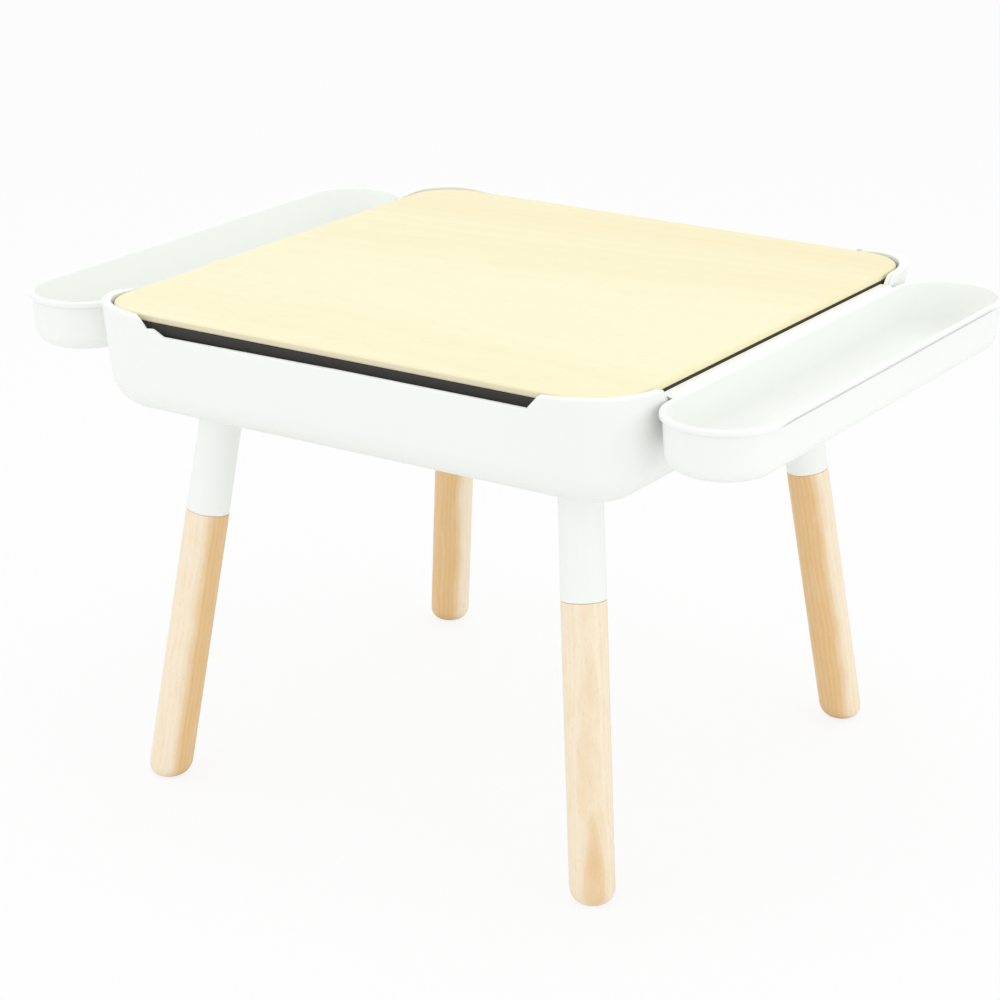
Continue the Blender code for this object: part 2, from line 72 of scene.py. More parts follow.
class Slot(Enum):
    """The record's material slots."""

    WHITE_PLASTIC = "white_plastic"
    BEECH = "beech"
    PALE_WOOD = "pale_wood"
    CHALKBOARD = "chalkboard"
    DARK_PLASTIC = "dark_plastic"
    STEEL = "steel"
    BRASS = "brass"


class Corner(Enum):
    """The four legs, each with the turn of its diagonal from the +X axis in degrees."""

    BACK_RIGHT = 45
    BACK_LEFT = 135
    FRONT_LEFT = 225
    FRONT_RIGHT = 315

    @property
    def label(self) -> str:
        """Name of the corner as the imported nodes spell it."""
        return self.name.lower()


# Shapes worked out as arrays


def arc_stations(height: float, inset: float, radius: float, start: float, end: float,
                 steps: int = 6) -> np.ndarray:
    """Profile points along a round.

    The height is the centre's plus the radius times the sine of the angle, and the inset is
    the centre's less the radius times its cosine, so 0 degrees points out of the wall and 90
    degrees points up.

    Args:
        height: Height of the round's centre.
        inset: Distance of the centre in from the outline.
        radius: Radius of the round.
        start: Angle of the first point in degrees.
        end: Angle of the last point in degrees.
        steps: Number of steps between them.

    Returns:
        Array of (height, inset), one row a point.
    """
    angle = np.radians(np.linspace(start, end, steps + 1))
    return np.stack((height + radius * np.sin(angle), inset - radius * np.cos(angle)), axis=1)


def rounded_outline(half_x: float, half_y: float, radius: float, along_x: np.ndarray,
                    along_y: np.ndarray, corner_steps: int,
                    centre: tuple[float, float] = (0.0, 0.0)) -> np.ndarray:
    """Plan outline of a rectangle with round corners, counter-clockwise from its right side.

    Each side runs through the given places, and each corner is a quarter circle about a
    centre that lies one radius in from both of its sides.

    Args:
        half_x: Half the size along X.
        half_y: Half the size along Y.
        radius: Radius of the corners.
        along_x: Places of the points along the front and back sides, rising.
        along_y: Places of the points along the left and right sides, rising.
        corner_steps: Number of steps round each corner.
        centre: Plan place of the middle.

    Returns:
        Array of (x, y), without repeated points.
    """
    angle = np.radians(np.linspace(0, 90, corner_steps + 1))
    right = np.stack((np.full_like(along_y, half_x), along_y), axis=1)
    back = np.stack((-along_x, np.full_like(along_x, half_y)), axis=1)
    corners = np.array(((1, 1), (-1, 1), (-1, -1), (1, -1)))
    parts = []
    for turn, side in enumerate((right, back, -right, -back)):
        middle = corners[turn] * (np.array((half_x, half_y)) - radius)
        swept = angle + math.radians(90 * turn)
        parts += [side, middle + radius * np.stack((np.cos(swept), np.sin(swept)), axis=1)]
    points = np.concatenate(parts)
    step = np.linalg.norm(points - np.roll(points, 1, axis=0), axis=1)
    return points[step > WELD] + np.array(centre)


def outline_directions(outline: np.ndarray) -> np.ndarray:
    """Outward direction at each point of a counter-clockwise outline.

    It is the sum of the two sides' unit normals over one plus their dot product, so that
    moving every point by it keeps each side parallel to where it was.

    Args:
        outline: Array of (x, y).

    Returns:
        Array of (x, y) of the same length.
    """
    side = np.roll(outline, -1, axis=0) - outline
    side /= np.linalg.norm(side, axis=1, keepdims=True)
    after = np.stack((side[:, 1], -side[:, 0]), axis=1)
    before = np.roll(after, 1, axis=0)
    return (after + before) / (1 + np.sum(after * before, axis=1, keepdims=True))


def swept_rings(outline: np.ndarray, heights: np.ndarray, insets: np.ndarray) -> np.ndarray:
    """Carry a profile round an outline.

    Row by row, each outline point moves in along its direction by the row's inset and takes
    the row's height.

    Args:
        outline: Array of (x, y).
        heights: Heights, rows by 1 or rows by outline points.
        insets: Insets, rows by 1 or rows by outline points.

    Returns:
        Grid of points, rows by columns by 3.
    """
    heights, insets = np.broadcast_arrays(heights, insets)
    rows = heights.shape[0]
    count = len(outline)
    plan = outline[None] - outline_directions(outline)[None] * np.broadcast_to(
        insets, (rows, count))[..., None]
    return np.concatenate((plan, np.broadcast_to(heights, (rows, count))[..., None]), axis=2)


def capped(grid: np.ndarray) -> np.ndarray:
    """Close a grid at both ends: its end rings shrink in even steps to their mean point.

    Args:
        grid: Grid of points whose first and last rows are flat rings.

    Returns:
        The grid with the closing rows before and after it.
    """
    share = np.linspace(1, 0, CENTRE_RINGS + 1)[1:, None, None]
    first_middle = grid[:1].mean(axis=1, keepdims=True)
    last_middle = grid[-1:].mean(axis=1, keepdims=True)
    first = first_middle + (grid[:1] - first_middle) * share[::-1]
    last = last_middle + (grid[-1:] - last_middle) * share
    return np.concatenate((first, grid, last))


def plate(outline: np.ndarray, low: float, high: float, edge: float) -> np.ndarray:
    """Closed flat plate with rounded edges.

    Its profile is a quarter round from the underside to the side, the side, and a quarter
    round on to the top.

    Args:
        outline: Plan outline as (x, y).
        low: Height of the underside.
        high: Height of the top.
        edge: Radius of both edges.

    Returns:
        Closed grid of points.
    """
    under = arc_stations(low + edge, edge, edge, -90, 0, PLATE_STEPS)
    over = arc_stations(high - edge, edge, edge, 0, 90, PLATE_STEPS)
    profile = np.concatenate((under, over))
    return capped(swept_rings(outline, profile[:, :1], profile[:, 1:]))


def eased_line(points: np.ndarray, reaches: np.ndarray) -> np.ndarray:
    """Line through given points, with its bends eased.

    Each bend is a curve between the two points that lie at its reach from it on either side.
    It starts and ends along the straight parts, as the squares of the shares weigh them.

    Args:
        points: Array of (place, height), with places that rise.
        reaches: Reach of each bend, for all points but the first and the last.

    Returns:
        Array of (place, height).
    """
    bend = points[1:-1]
    before, after = points[:-2] - bend, points[2:] - bend
    reach = np.asarray(reaches)[:, None]
    start = bend + before / np.linalg.norm(before, axis=1, keepdims=True) * reach
    end = bend + after / np.linalg.norm(after, axis=1, keepdims=True) * reach
    share = np.linspace(0, 1, BEND_POINTS)[:, None]
    curve = (start[:, None] * (1 - share) ** 2 + 2 * bend[:, None] * share * (1 - share)
             + end[:, None] * share ** 2)
    return np.concatenate((points[:1], curve.reshape(-1, 2), points[-1:]))


def box_outline(low: tuple[float, float], high: tuple[float, float], radius: float,
                side_steps: int = 1) -> np.ndarray:
    """Plan outline of a plain block with slightly round upright edges.

    Args:
        low: Lowest x and y.
        high: Highest x and y.
        radius: Radius of the upright edges.
        side_steps: Number of steps along each side that runs along Y.

    Returns:
        Array of (x, y).
    """
    half_x, half_y = (high[0] - low[0]) / 2, (high[1] - low[1]) / 2
    reach = half_y - radius
    along_y = np.linspace(-reach, reach, side_steps + 1)[1:-1]
    centre = ((high[0] + low[0]) / 2, (high[1] + low[1]) / 2)
    return rounded_outline(half_x, half_y, radius, np.zeros(0), along_y, BLOCK_STEPS, centre)


def grid_cells(points: np.ndarray, wrap_rows: bool) -> tuple[np.ndarray, np.ndarray]:
    """Turn a grid of points into distinct vertices and outward cells.

    Each cell joins a point to its neighbours in the next column and the next row, and the
    last column joins the first. Points that coincide, as at a pole, become one vertex. The
    cells are turned over where the volume under them comes out negative.

    Args:
        points: Grid, rows by columns by 3.
        wrap_rows: Whether the last row joins the first.

    Returns:
        The vertices, and the cells as rows of four vertex numbers.
    """
    rows, columns = points.shape[:2]
    flat = points.reshape(-1, 3)
    places = np.round(flat / WELD).astype(np.int64)
    _, first, index = np.unique(places, axis=0, return_index=True, return_inverse=True)
    index = index.reshape(rows, columns)
    if wrap_rows:
        index = np.vstack((index, index[:1]))
    beside = np.roll(index, -1, axis=1)
    cells = np.stack((index[:-1], beside[:-1], beside[1:], index[1:]), axis=-1).reshape(-1, 4)
    vertices = flat[first]
    one, two, three, four = np.moveaxis(vertices[cells], 1, 0)
    volume = np.sum(one * (np.cross(two, three) + np.cross(three, four)))
    return vertices, cells if volume > 0 else cells[:, ::-1]


@dataclass
class Shell:
    """One closed surface of a piece: a grid of points whose columns wrap round.

    Attributes:
        points: Grid, rows by columns by 3.
        wrap_rows: Whether the last row joins the first, as on a tube.
    """

    points: np.ndarray
    wrap_rows: bool = False


@dataclass
class Piece:
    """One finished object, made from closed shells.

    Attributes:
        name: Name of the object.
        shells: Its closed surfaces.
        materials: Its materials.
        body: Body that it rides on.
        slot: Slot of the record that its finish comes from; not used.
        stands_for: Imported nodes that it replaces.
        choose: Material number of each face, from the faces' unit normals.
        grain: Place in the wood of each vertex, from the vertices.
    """

    name: str
    shells: list[Shell]
    materials: list[bpy.types.Material]
    body: Body
    slot: Slot
    stands_for: tuple[str, ...]
    choose: Callable[[np.ndarray], np.ndarray] | None = None
    grain: Callable[[np.ndarray], np.ndarray] | None = None

    def mesh(self) -> bpy.types.Mesh:
        """Put the shells in one mesh and dress it.

        A face's normal is half the cross product of its diagonals. A vertex takes the sum of
        its faces' normals, so large flat faces keep flat shading up to their rounded edges.

        Returns:
            The mesh, with its materials.
        """
        parts = [grid_cells(shell.points, shell.wrap_rows) for shell in self.shells]
        counts = np.cumsum([0] + [len(vertices) for vertices, _ in parts])
        vertices = np.concatenate([part[0] for part in parts])
        cells = np.concatenate([part[1] + count for part, count in zip(parts, counts)])
        # where two corners of a cell are one vertex, as at a pole, the face has three
        keep = cells != np.roll(cells, -1, axis=1)
        whole = keep.sum(axis=1) > 2
        cells, keep = cells[whole], keep[whole]
        size = keep.sum(axis=1)
        corners = vertices[cells]
        normal = np.cross(corners[:, 2] - corners[:, 0], corners[:, 3] - corners[:, 1])
        mesh = bpy.data.meshes.new(self.name)
        mesh.vertices.add(len(vertices))
        mesh.vertices.foreach_set("co", vertices.ravel())
        mesh.loops.add(int(size.sum()))
        mesh.loops.foreach_set("vertex_index", cells[keep].astype(np.int32))
        mesh.polygons.add(len(cells))
        starts = np.cumsum(size) - size
        mesh.polygons.foreach_set("loop_start", starts.astype(np.int32))
        if self.choose:
            number = self.choose(normal / np.linalg.norm(normal, axis=1, keepdims=True))
            mesh.polygons.foreach_set("material_index", number.astype(np.int32))
        mesh.update(calc_edges=True)
        mesh.shade_smooth()
        smooth = np.zeros_like(vertices)
        for corner in cells.T:
            np.add.at(smooth, corner, normal)
        smooth /= np.linalg.norm(smooth, axis=1, keepdims=True)
        mesh.normals_split_custom_set_from_vertices(smooth)
        if self.grain:
            attribute = mesh.attributes.new(GRAIN_ATTRIBUTE, "FLOAT_VECTOR", "POINT")
            attribute.data.foreach_set("vector", self.grain(vertices).ravel())
        for material in self.materials:
            mesh.materials.append(material)
        return mesh

    def build(self) -> None:
        """Make the object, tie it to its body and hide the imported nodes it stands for."""
        obj = bpy.data.objects.new(self.name, self.mesh())
        bpy.context.scene.collection.objects.link(obj)
        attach(obj, self.body.value)
        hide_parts(*self.stands_for)
        log.info("%s: %d faces, rides on %s", self.name, len(obj.data.polygons),
                 self.body.value)


# Finishes


def linear(hex_colour: str) -> tuple[float, float, float, float]:
    """Turn an sRGB hex colour into a linear colour with full alpha.

    A share up to 0.04045 is divided by 12.92. To any other 0.055 is added, the sum is divided
    by 1.055, and the result is raised to the power 2.4.

    Args:
        hex_colour: Colour as "#RRGGBB".

    Returns:
        Linear red, green and blue, and 1.
    """
    values = np.array([int(hex_colour[start:start + 2], 16) for start in (1, 3, 5)]) / 255
    low, high = values / 12.92, ((values + 0.055) / 1.055) ** 2.4
    return (*np.where(values <= 0.04045, low, high).tolist(), 1.0)


def set_inputs(tree: bpy.types.NodeTree, node: bpy.types.Node,
               inputs: dict[str | int, object]) -> None:
    """Give a node its values and links.

    Args:
        tree: Node tree that holds it.
        node: The node.
        inputs: Value or linked output for each input, by the input's name or number.
    """
    for socket, value in inputs.items():
        if isinstance(value, bpy.types.NodeSocket):
            tree.links.new(value, node.inputs[socket])
        else:
            node.inputs[socket].default_value = value


def add_node(tree: bpy.types.NodeTree, kind: str,
             inputs: dict[str | int, object] | None = None,
             **options: object) -> bpy.types.Node:
    """Add one node with its options, values and links.

    Args:
        tree: Node tree that takes it.
        kind: Blender's name of the node's type.
        inputs: Value or linked output for each input, by the input's name or number.
        options: Settings of the node itself.

    Returns:
        The new node.
    """
    node = tree.nodes.new(kind)
    for option, value in options.items():
        setattr(node, option, value)
    set_inputs(tree, node, inputs or {})
    return node


def per_metre(millimetres: float) -> float:
    """Scale of a pattern whose features have the given size: one over that size in metres."""
    return 1 / (millimetres * MM)


def new_finish(name: str) -> tuple[bpy.types.Material, bpy.types.NodeTree, bpy.types.Node]:
    """Start a material.

    Args:
        name: Name of the material.

    Returns:
        The material, its node tree and its Principled shader.
    """
    material = bpy.data.materials.new(name)
    material.use_nodes = True
    tree = material.node_tree
    return material, tree, tree.nodes["Principled BSDF"]


@dataclass(frozen=True)
class MouldedAbs:
    """White ABS, injection moulded in a finely spark-eroded mould.

    The eye sees a clean white with a soft satin gloss, a faint drift of tone where the melt
    flowed, and a very fine even texture that breaks up the highlights.
    """

    name: str = "moulded_white_abs"
    colour: str = "#F9FBF8"
    drift_colour: str = "#F6F9F5"
    drift_mm: float = 90.0
    # the real grain is about 0.3 mm, drawn coarser so that it shows
    grain_mm: float = 1.1
    grain_depth_mm: float = 0.012
    smudge_mm: float = 35.0
    roughness: tuple[float, float] = (0.34, 0.46)
    ior: float = 1.53

    def material(self) -> bpy.types.Material:
        """Make the material.

        Returns:
            The material.
        """
        material, tree, shader = new_finish(self.name)
        place = add_node(tree, "ShaderNodeTexCoord").outputs["Object"]
        drift = add_node(tree, "ShaderNodeTexNoise", {
            "Vector": place, "Scale": per_metre(self.drift_mm), "Detail": 2.0})
        colour = add_node(tree, "ShaderNodeMix", {
            "Factor": drift.outputs["Fac"], "A": linear(self.colour),
            "B": linear(self.drift_colour)}, data_type="RGBA")
        smudge = add_node(tree, "ShaderNodeTexNoise", {
            "Vector": place, "Scale": per_metre(self.smudge_mm), "Detail": 4.0})
        gloss = add_node(tree, "ShaderNodeMapRange", {
            "Value": smudge.outputs["Fac"], "To Min": self.roughness[0],
            "To Max": self.roughness[1]})
        grain = add_node(tree, "ShaderNodeTexNoise", {
            "Vector": place, "Scale": per_metre(self.grain_mm), "Detail": 3.0})
        bump = add_node(tree, "ShaderNodeBump", {
            "Height": grain.outputs["Fac"], "Distance": self.grain_depth_mm * MM,
            "Strength": 0.6})
        set_inputs(tree, shader, {
            "Base Color": colour.outputs["Result"], "Roughness": gloss.outputs["Result"],
            "Normal": bump.outputs["Normal"], "IOR": self.ior})
        return material


@dataclass(frozen=True)
class Wood:
    """Wood whose grain runs along the Z of the place that it reads.

    Growth rings are shells about the tree's middle, which lies off to one side and leans a
    little, so that they cut the surface in long flames. Fine fibres and short rays lie over
    them, and a clear satin lacquer over all.

    Attributes:
        light: Colour of the early wood.
        dark: Colour of the late wood.
        ray: Colour of the short rays.
        ring_mm: Width of one growth ring.
        waver_mm: How far the rings wander.
        middle_mm: Place of the tree's middle across the piece.
        lean_degrees: Lean of the tree's middle against the piece.
        contrast: Shares of the rings, the broad figure and the fibres in the dark colour.
        ray_share: Share of the rays' colour where a ray lies.
        ray_span: Levels of the noise between which a ray comes up.
        late_peak: Place across a growth ring at which the late wood is darkest.
    """

    name: str
    light: str
    dark: str
    ray: str
    ring_mm: float
    waver_mm: float
    middle_mm: tuple[float, float]
    lean_degrees: tuple[float, float]
    contrast: tuple[float, float, float]
    ray_share: float
    fibre_mm: tuple[float, float] = (0.9, 38.0)
    ray_mm: tuple[float, float] = (0.8, 5.0)
    ray_span: tuple[float, float] = (0.64, 0.72)
    late_peak: float = 0.82
    waver_size_mm: tuple[float, float] = (45.0, 260.0)
    roughness: tuple[float, float] = (0.38, 0.50)
    relief_mm: float = 0.02
    ior: float = 1.50
    lacquer: float = 0.15
    lacquer_roughness: float = 0.30

    def place(self, tree: bpy.types.NodeTree) -> bpy.types.NodeSocket:
        """Place in the wood, with Z along the grain."""
        return add_node(tree, "ShaderNodeTexCoord").outputs["Object"]

    def stretched(self, tree: bpy.types.NodeTree, place: bpy.types.NodeSocket,
                  size_mm: tuple[float, float], detail: float) -> bpy.types.NodeSocket:
        """Noise that is drawn out along the grain.

        Args:
            tree: Node tree that takes it.
            place: Place in the wood.
            size_mm: Size of its features across and along the grain.
            detail: Number of finer layers.

        Returns:
            The noise, from 0 to 1.
        """
        across, along = per_metre(size_mm[0]), per_metre(size_mm[1])
        scaled = add_node(tree, "ShaderNodeVectorMath", {
            0: place, 1: (across, across, along)}, operation="MULTIPLY")
        return add_node(tree, "ShaderNodeTexNoise", {
            "Vector": scaled.outputs["Vector"], "Scale": 1.0,
            "Detail": detail}).outputs["Fac"]

    def ring_distance(self, tree: bpy.types.NodeTree,
                      place: bpy.types.NodeSocket) -> bpy.types.NodeSocket:
        """Distance from the tree's middle in metres, with its wander.

        Args:
            tree: Node tree that takes it.
            place: Place in the wood.

        Returns:
            The distance.
        """
        lean = tuple(math.radians(angle) for angle in self.lean_degrees)
        middle = tuple(value * MM for value in self.middle_mm)
        leaned = add_node(tree, "ShaderNodeMapping", {
            "Vector": place, "Location": (*middle, 0.0), "Rotation": (*lean, 0.0)})
        across = add_node(tree, "ShaderNodeVectorMath", {
            0: leaned.outputs["Vector"], 1: (1.0, 1.0, 0.0)}, operation="MULTIPLY")
        distance = add_node(tree, "ShaderNodeVectorMath", {
            0: across.outputs["Vector"]}, operation="LENGTH").outputs["Value"]
        waver = self.stretched(tree, place, self.waver_size_mm, 2.0)
        return add_node(tree, "ShaderNodeMath", {
            0: waver, 1: 2 * self.waver_mm * MM, 2: distance},
            operation="MULTIPLY_ADD").outputs["Value"]

    def figure(self, tree: bpy.types.NodeTree, place: bpy.types.NodeSocket,
               distance: bpy.types.NodeSocket) -> bpy.types.NodeSocket:
        """Broad figure of the wood, from 0 in light wood to 1 in dark.

        Args:
            tree: Node tree that takes it.
            place: Place in the wood.
            distance: Distance from the tree's middle.

        Returns:
            The figure.
        """
        raise NotImplementedError

    def material(self) -> bpy.types.Material:
        """Make the material.

        Returns:
            The material.
        """
        material, tree, shader = new_finish(self.name)
        place = self.place(tree)
        distance = self.ring_distance(tree, place)
        ring = add_node(tree, "ShaderNodeMath", {
            0: distance, 1: per_metre(self.ring_mm)}, operation="MULTIPLY")
        part = add_node(tree, "ShaderNodeMath", {0: ring.outputs[0]}, operation="FRACT")
        late = add_node(tree, "ShaderNodeValToRGB", {"Fac": part.outputs[0]})
        ramp = late.color_ramp
        ramp.interpolation = "EASE"
        black, white = (0.0, 0.0, 0.0, 1.0), (1.0, 1.0, 1.0, 1.0)
        ramp.elements[0].color = black
        ramp.elements[1].position, ramp.elements[1].color = self.late_peak, white
        ramp.elements.new(1.0).color = black
        fibre = self.stretched(tree, place, self.fibre_mm, 4.0)
        tone = add_node(tree, "ShaderNodeMath", {
            0: late.outputs["Color"], 1: self.contrast[0]}, operation="MULTIPLY")
        tone = add_node(tree, "ShaderNodeMath", {
            0: self.figure(tree, place, distance), 1: self.contrast[1], 2: tone.outputs[0]},
            operation="MULTIPLY_ADD")
        tone = add_node(tree, "ShaderNodeMath", {
            0: fibre, 1: self.contrast[2], 2: tone.outputs[0]}, operation="MULTIPLY_ADD")
        colour = add_node(tree, "ShaderNodeMix", {
            "Factor": tone.outputs[0], "A": linear(self.light), "B": linear(self.dark)},
            data_type="RGBA")
        ray = add_node(tree, "ShaderNodeMapRange", {
            "Value": self.stretched(tree, place, self.ray_mm, 1.0),
            "From Min": self.ray_span[0], "From Max": self.ray_span[1],
            "To Max": self.ray_share})
        rayed = add_node(tree, "ShaderNodeMix", {
            "Factor": ray.outputs["Result"], "A": colour.outputs["Result"],
            "B": linear(self.ray)}, data_type="RGBA")
        gloss = add_node(tree, "ShaderNodeMapRange", {
            "Value": fibre, "To Min": self.roughness[0], "To Max": self.roughness[1]})
        bump = add_node(tree, "ShaderNodeBump", {
            "Height": fibre, "Distance": self.relief_mm * MM, "Strength": 0.5})
        set_inputs(tree, shader, {
            "Base Color": rayed.outputs["Result"], "Roughness": gloss.outputs["Result"],
            "Normal": bump.outputs["Normal"], "IOR": self.ior, "Coat Weight": self.lacquer,
            "Coat Roughness": self.lacquer_roughness})
        return material


@dataclass(frozen=True)
class TurnedBeech(Wood):
    """Beech turned on a lathe, sanded, under a clear satin lacquer.

    The eye sees pale straw wood that deepens to honey where the turning cut near the tree's
    middle, over a soft wavy border, with cloudy tone and short fine rays. The honey side is
    partly real figure and partly painted shade where the legs face in under the tub.

    Attributes:
        heart_mm: Distance from the tree's middle at which the dark wood ends.
        border_mm: Half the width of its border.
        cloud_mm: Size of the cloudy tone across and along the grain.
        cloud_span: Levels of the noise between which the tone changes.
        cloud_share: Share of the cloudy tone in the figure.
    """

    name: str = "turned_beech_satin_lacquer"
    light: str = "#FDF0D8"
    # the dark colour is partly the heart wood's own and partly painted shade on the legs' sides
    # that face in under the tub
    dark: str = "#E7B974"
    ray: str = "#C99A5E"
    ring_mm: float = 4.2
    waver_mm: float = 4.0
    middle_mm: tuple[float, float] = (34.0, 0.0)
    lean_degrees: tuple[float, float] = (0.0, 0.0)
    contrast: tuple[float, float, float] = (0.09, 0.72, 0.14)
    ray_share: float = 0.22
    fibre_mm: tuple[float, float] = (1.3, 42.0)
    waver_size_mm: tuple[float, float] = (40.0, 74.0)
    heart_mm: float = 41.0
    border_mm: float = 6.0
    cloud_mm: tuple[float, float] = (9.0, 30.0)
    cloud_span: tuple[float, float] = (0.3, 0.7)
    cloud_share: float = 0.30

    def place(self, tree: bpy.types.NodeTree) -> bpy.types.NodeSocket:
        """Place in the leg's own axes, which each leg's mesh carries."""
        return add_node(tree, "ShaderNodeAttribute",
                        attribute_name=GRAIN_ATTRIBUTE).outputs["Vector"]

    def figure(self, tree: bpy.types.NodeTree, place: bpy.types.NodeSocket,
               distance: bpy.types.NodeSocket) -> bpy.types.NodeSocket:
        """Dark wood near the tree's middle, with a soft border, under the cloudy tone.

        Args:
            tree: Node tree that takes it.
            place: Place in the wood.
            distance: Distance from the tree's middle.

        Returns:
            The figure.
        """
        heart = add_node(tree, "ShaderNodeMapRange", {
            "Value": distance, "From Min": (self.heart_mm + self.border_mm) * MM,
            "From Max": (self.heart_mm - self.border_mm) * MM},
            interpolation_type="SMOOTHSTEP")
        cloud = add_node(tree, "ShaderNodeMapRange", {
            "Value": self.stretched(tree, place, self.cloud_mm, 3.0),
            "From Min": self.cloud_span[0], "From Max": self.cloud_span[1],
            "To Min": -self.cloud_share / 2, "To Max": self.cloud_share / 2})
        return add_node(tree, "ShaderNodeMath", {
            0: heart.outputs["Result"], 1: cloud.outputs["Result"]},
            operation="ADD", use_clamp=True).outputs["Value"]


@dataclass(frozen=True)
class PaleVeneer(Wood):
    """Pale maple veneer, pressed flat and satin lacquered, its grain along the table's X.

    The eye sees an even cream with faint long grain, a little deeper here and there and
    towards the back of the leaf.

    Attributes:
        figure_mm: Width of the broad bands.
        leaf_mm: Places across the grain between which the leaf grows deeper.
        leaf_tone: How much deeper it grows, as a share of a broad band.
    """

    name: str = "pale_maple_veneer"
    light: str = "#F8F4CE"
    dark: str = "#E9D090"
    ray: str = "#DDBF80"
    ring_mm: float = 6.0
    waver_mm: float = 9.0
    middle_mm: tuple[float, float] = (-300.0, 60.0)
    lean_degrees: tuple[float, float] = (0.0, 1.2)
    contrast: tuple[float, float, float] = (0.05, 0.08, 0.15)
    ray_share: float = 0.16
    ray_mm: tuple[float, float] = (1.6, 18.0)
    waver_size_mm: tuple[float, float] = (70.0, 420.0)
    figure_mm: float = 31.0
    leaf_mm: tuple[float, float] = (-20.0, 270.0)
    leaf_tone: float = 2.4

    def place(self, tree: bpy.types.NodeTree) -> bpy.types.NodeSocket:
        """Place on the board, turned so that its X becomes the way of the grain."""
        place = add_node(tree, "ShaderNodeTexCoord").outputs["Object"]
        return add_node(tree, "ShaderNodeMapping", {
            "Vector": place, "Rotation": (0.0, -math.pi / 2, 0.0)}).outputs["Vector"]

    def figure(self, tree: bpy.types.NodeTree, place: bpy.types.NodeSocket,
               distance: bpy.types.NodeSocket) -> bpy.types.NodeSocket:
        """Bands by the sine of the distance, and the leaf's deeper side.

        Args:
            tree: Node tree that takes it.
            place: Place in the wood.
            distance: Distance from the tree's middle.

        Returns:
            The figure.
        """
        turns = add_node(tree, "ShaderNodeMath", {
            0: distance, 1: 2 * math.pi * per_metre(self.figure_mm)}, operation="MULTIPLY")
        wave = add_node(tree, "ShaderNodeMath", {0: turns.outputs[0]}, operation="SINE")
        bands = add_node(tree, "ShaderNodeMath", {
            0: wave.outputs[0], 1: 0.5, 2: 0.5}, operation="MULTIPLY_ADD")
        parts = add_node(tree, "ShaderNodeSeparateXYZ", {0: place})
        leaf = add_node(tree, "ShaderNodeMapRange", {
            "Value": parts.outputs["Y"], "From Min": self.leaf_mm[0] * MM,
            "From Max": self.leaf_mm[1] * MM, "To Max": self.leaf_tone},
            interpolation_type="SMOOTHSTEP")
        return add_node(tree, "ShaderNodeMath", {
            0: bands.outputs[0], 1: leaf.outputs["Result"]}, operation="ADD").outputs["Value"]


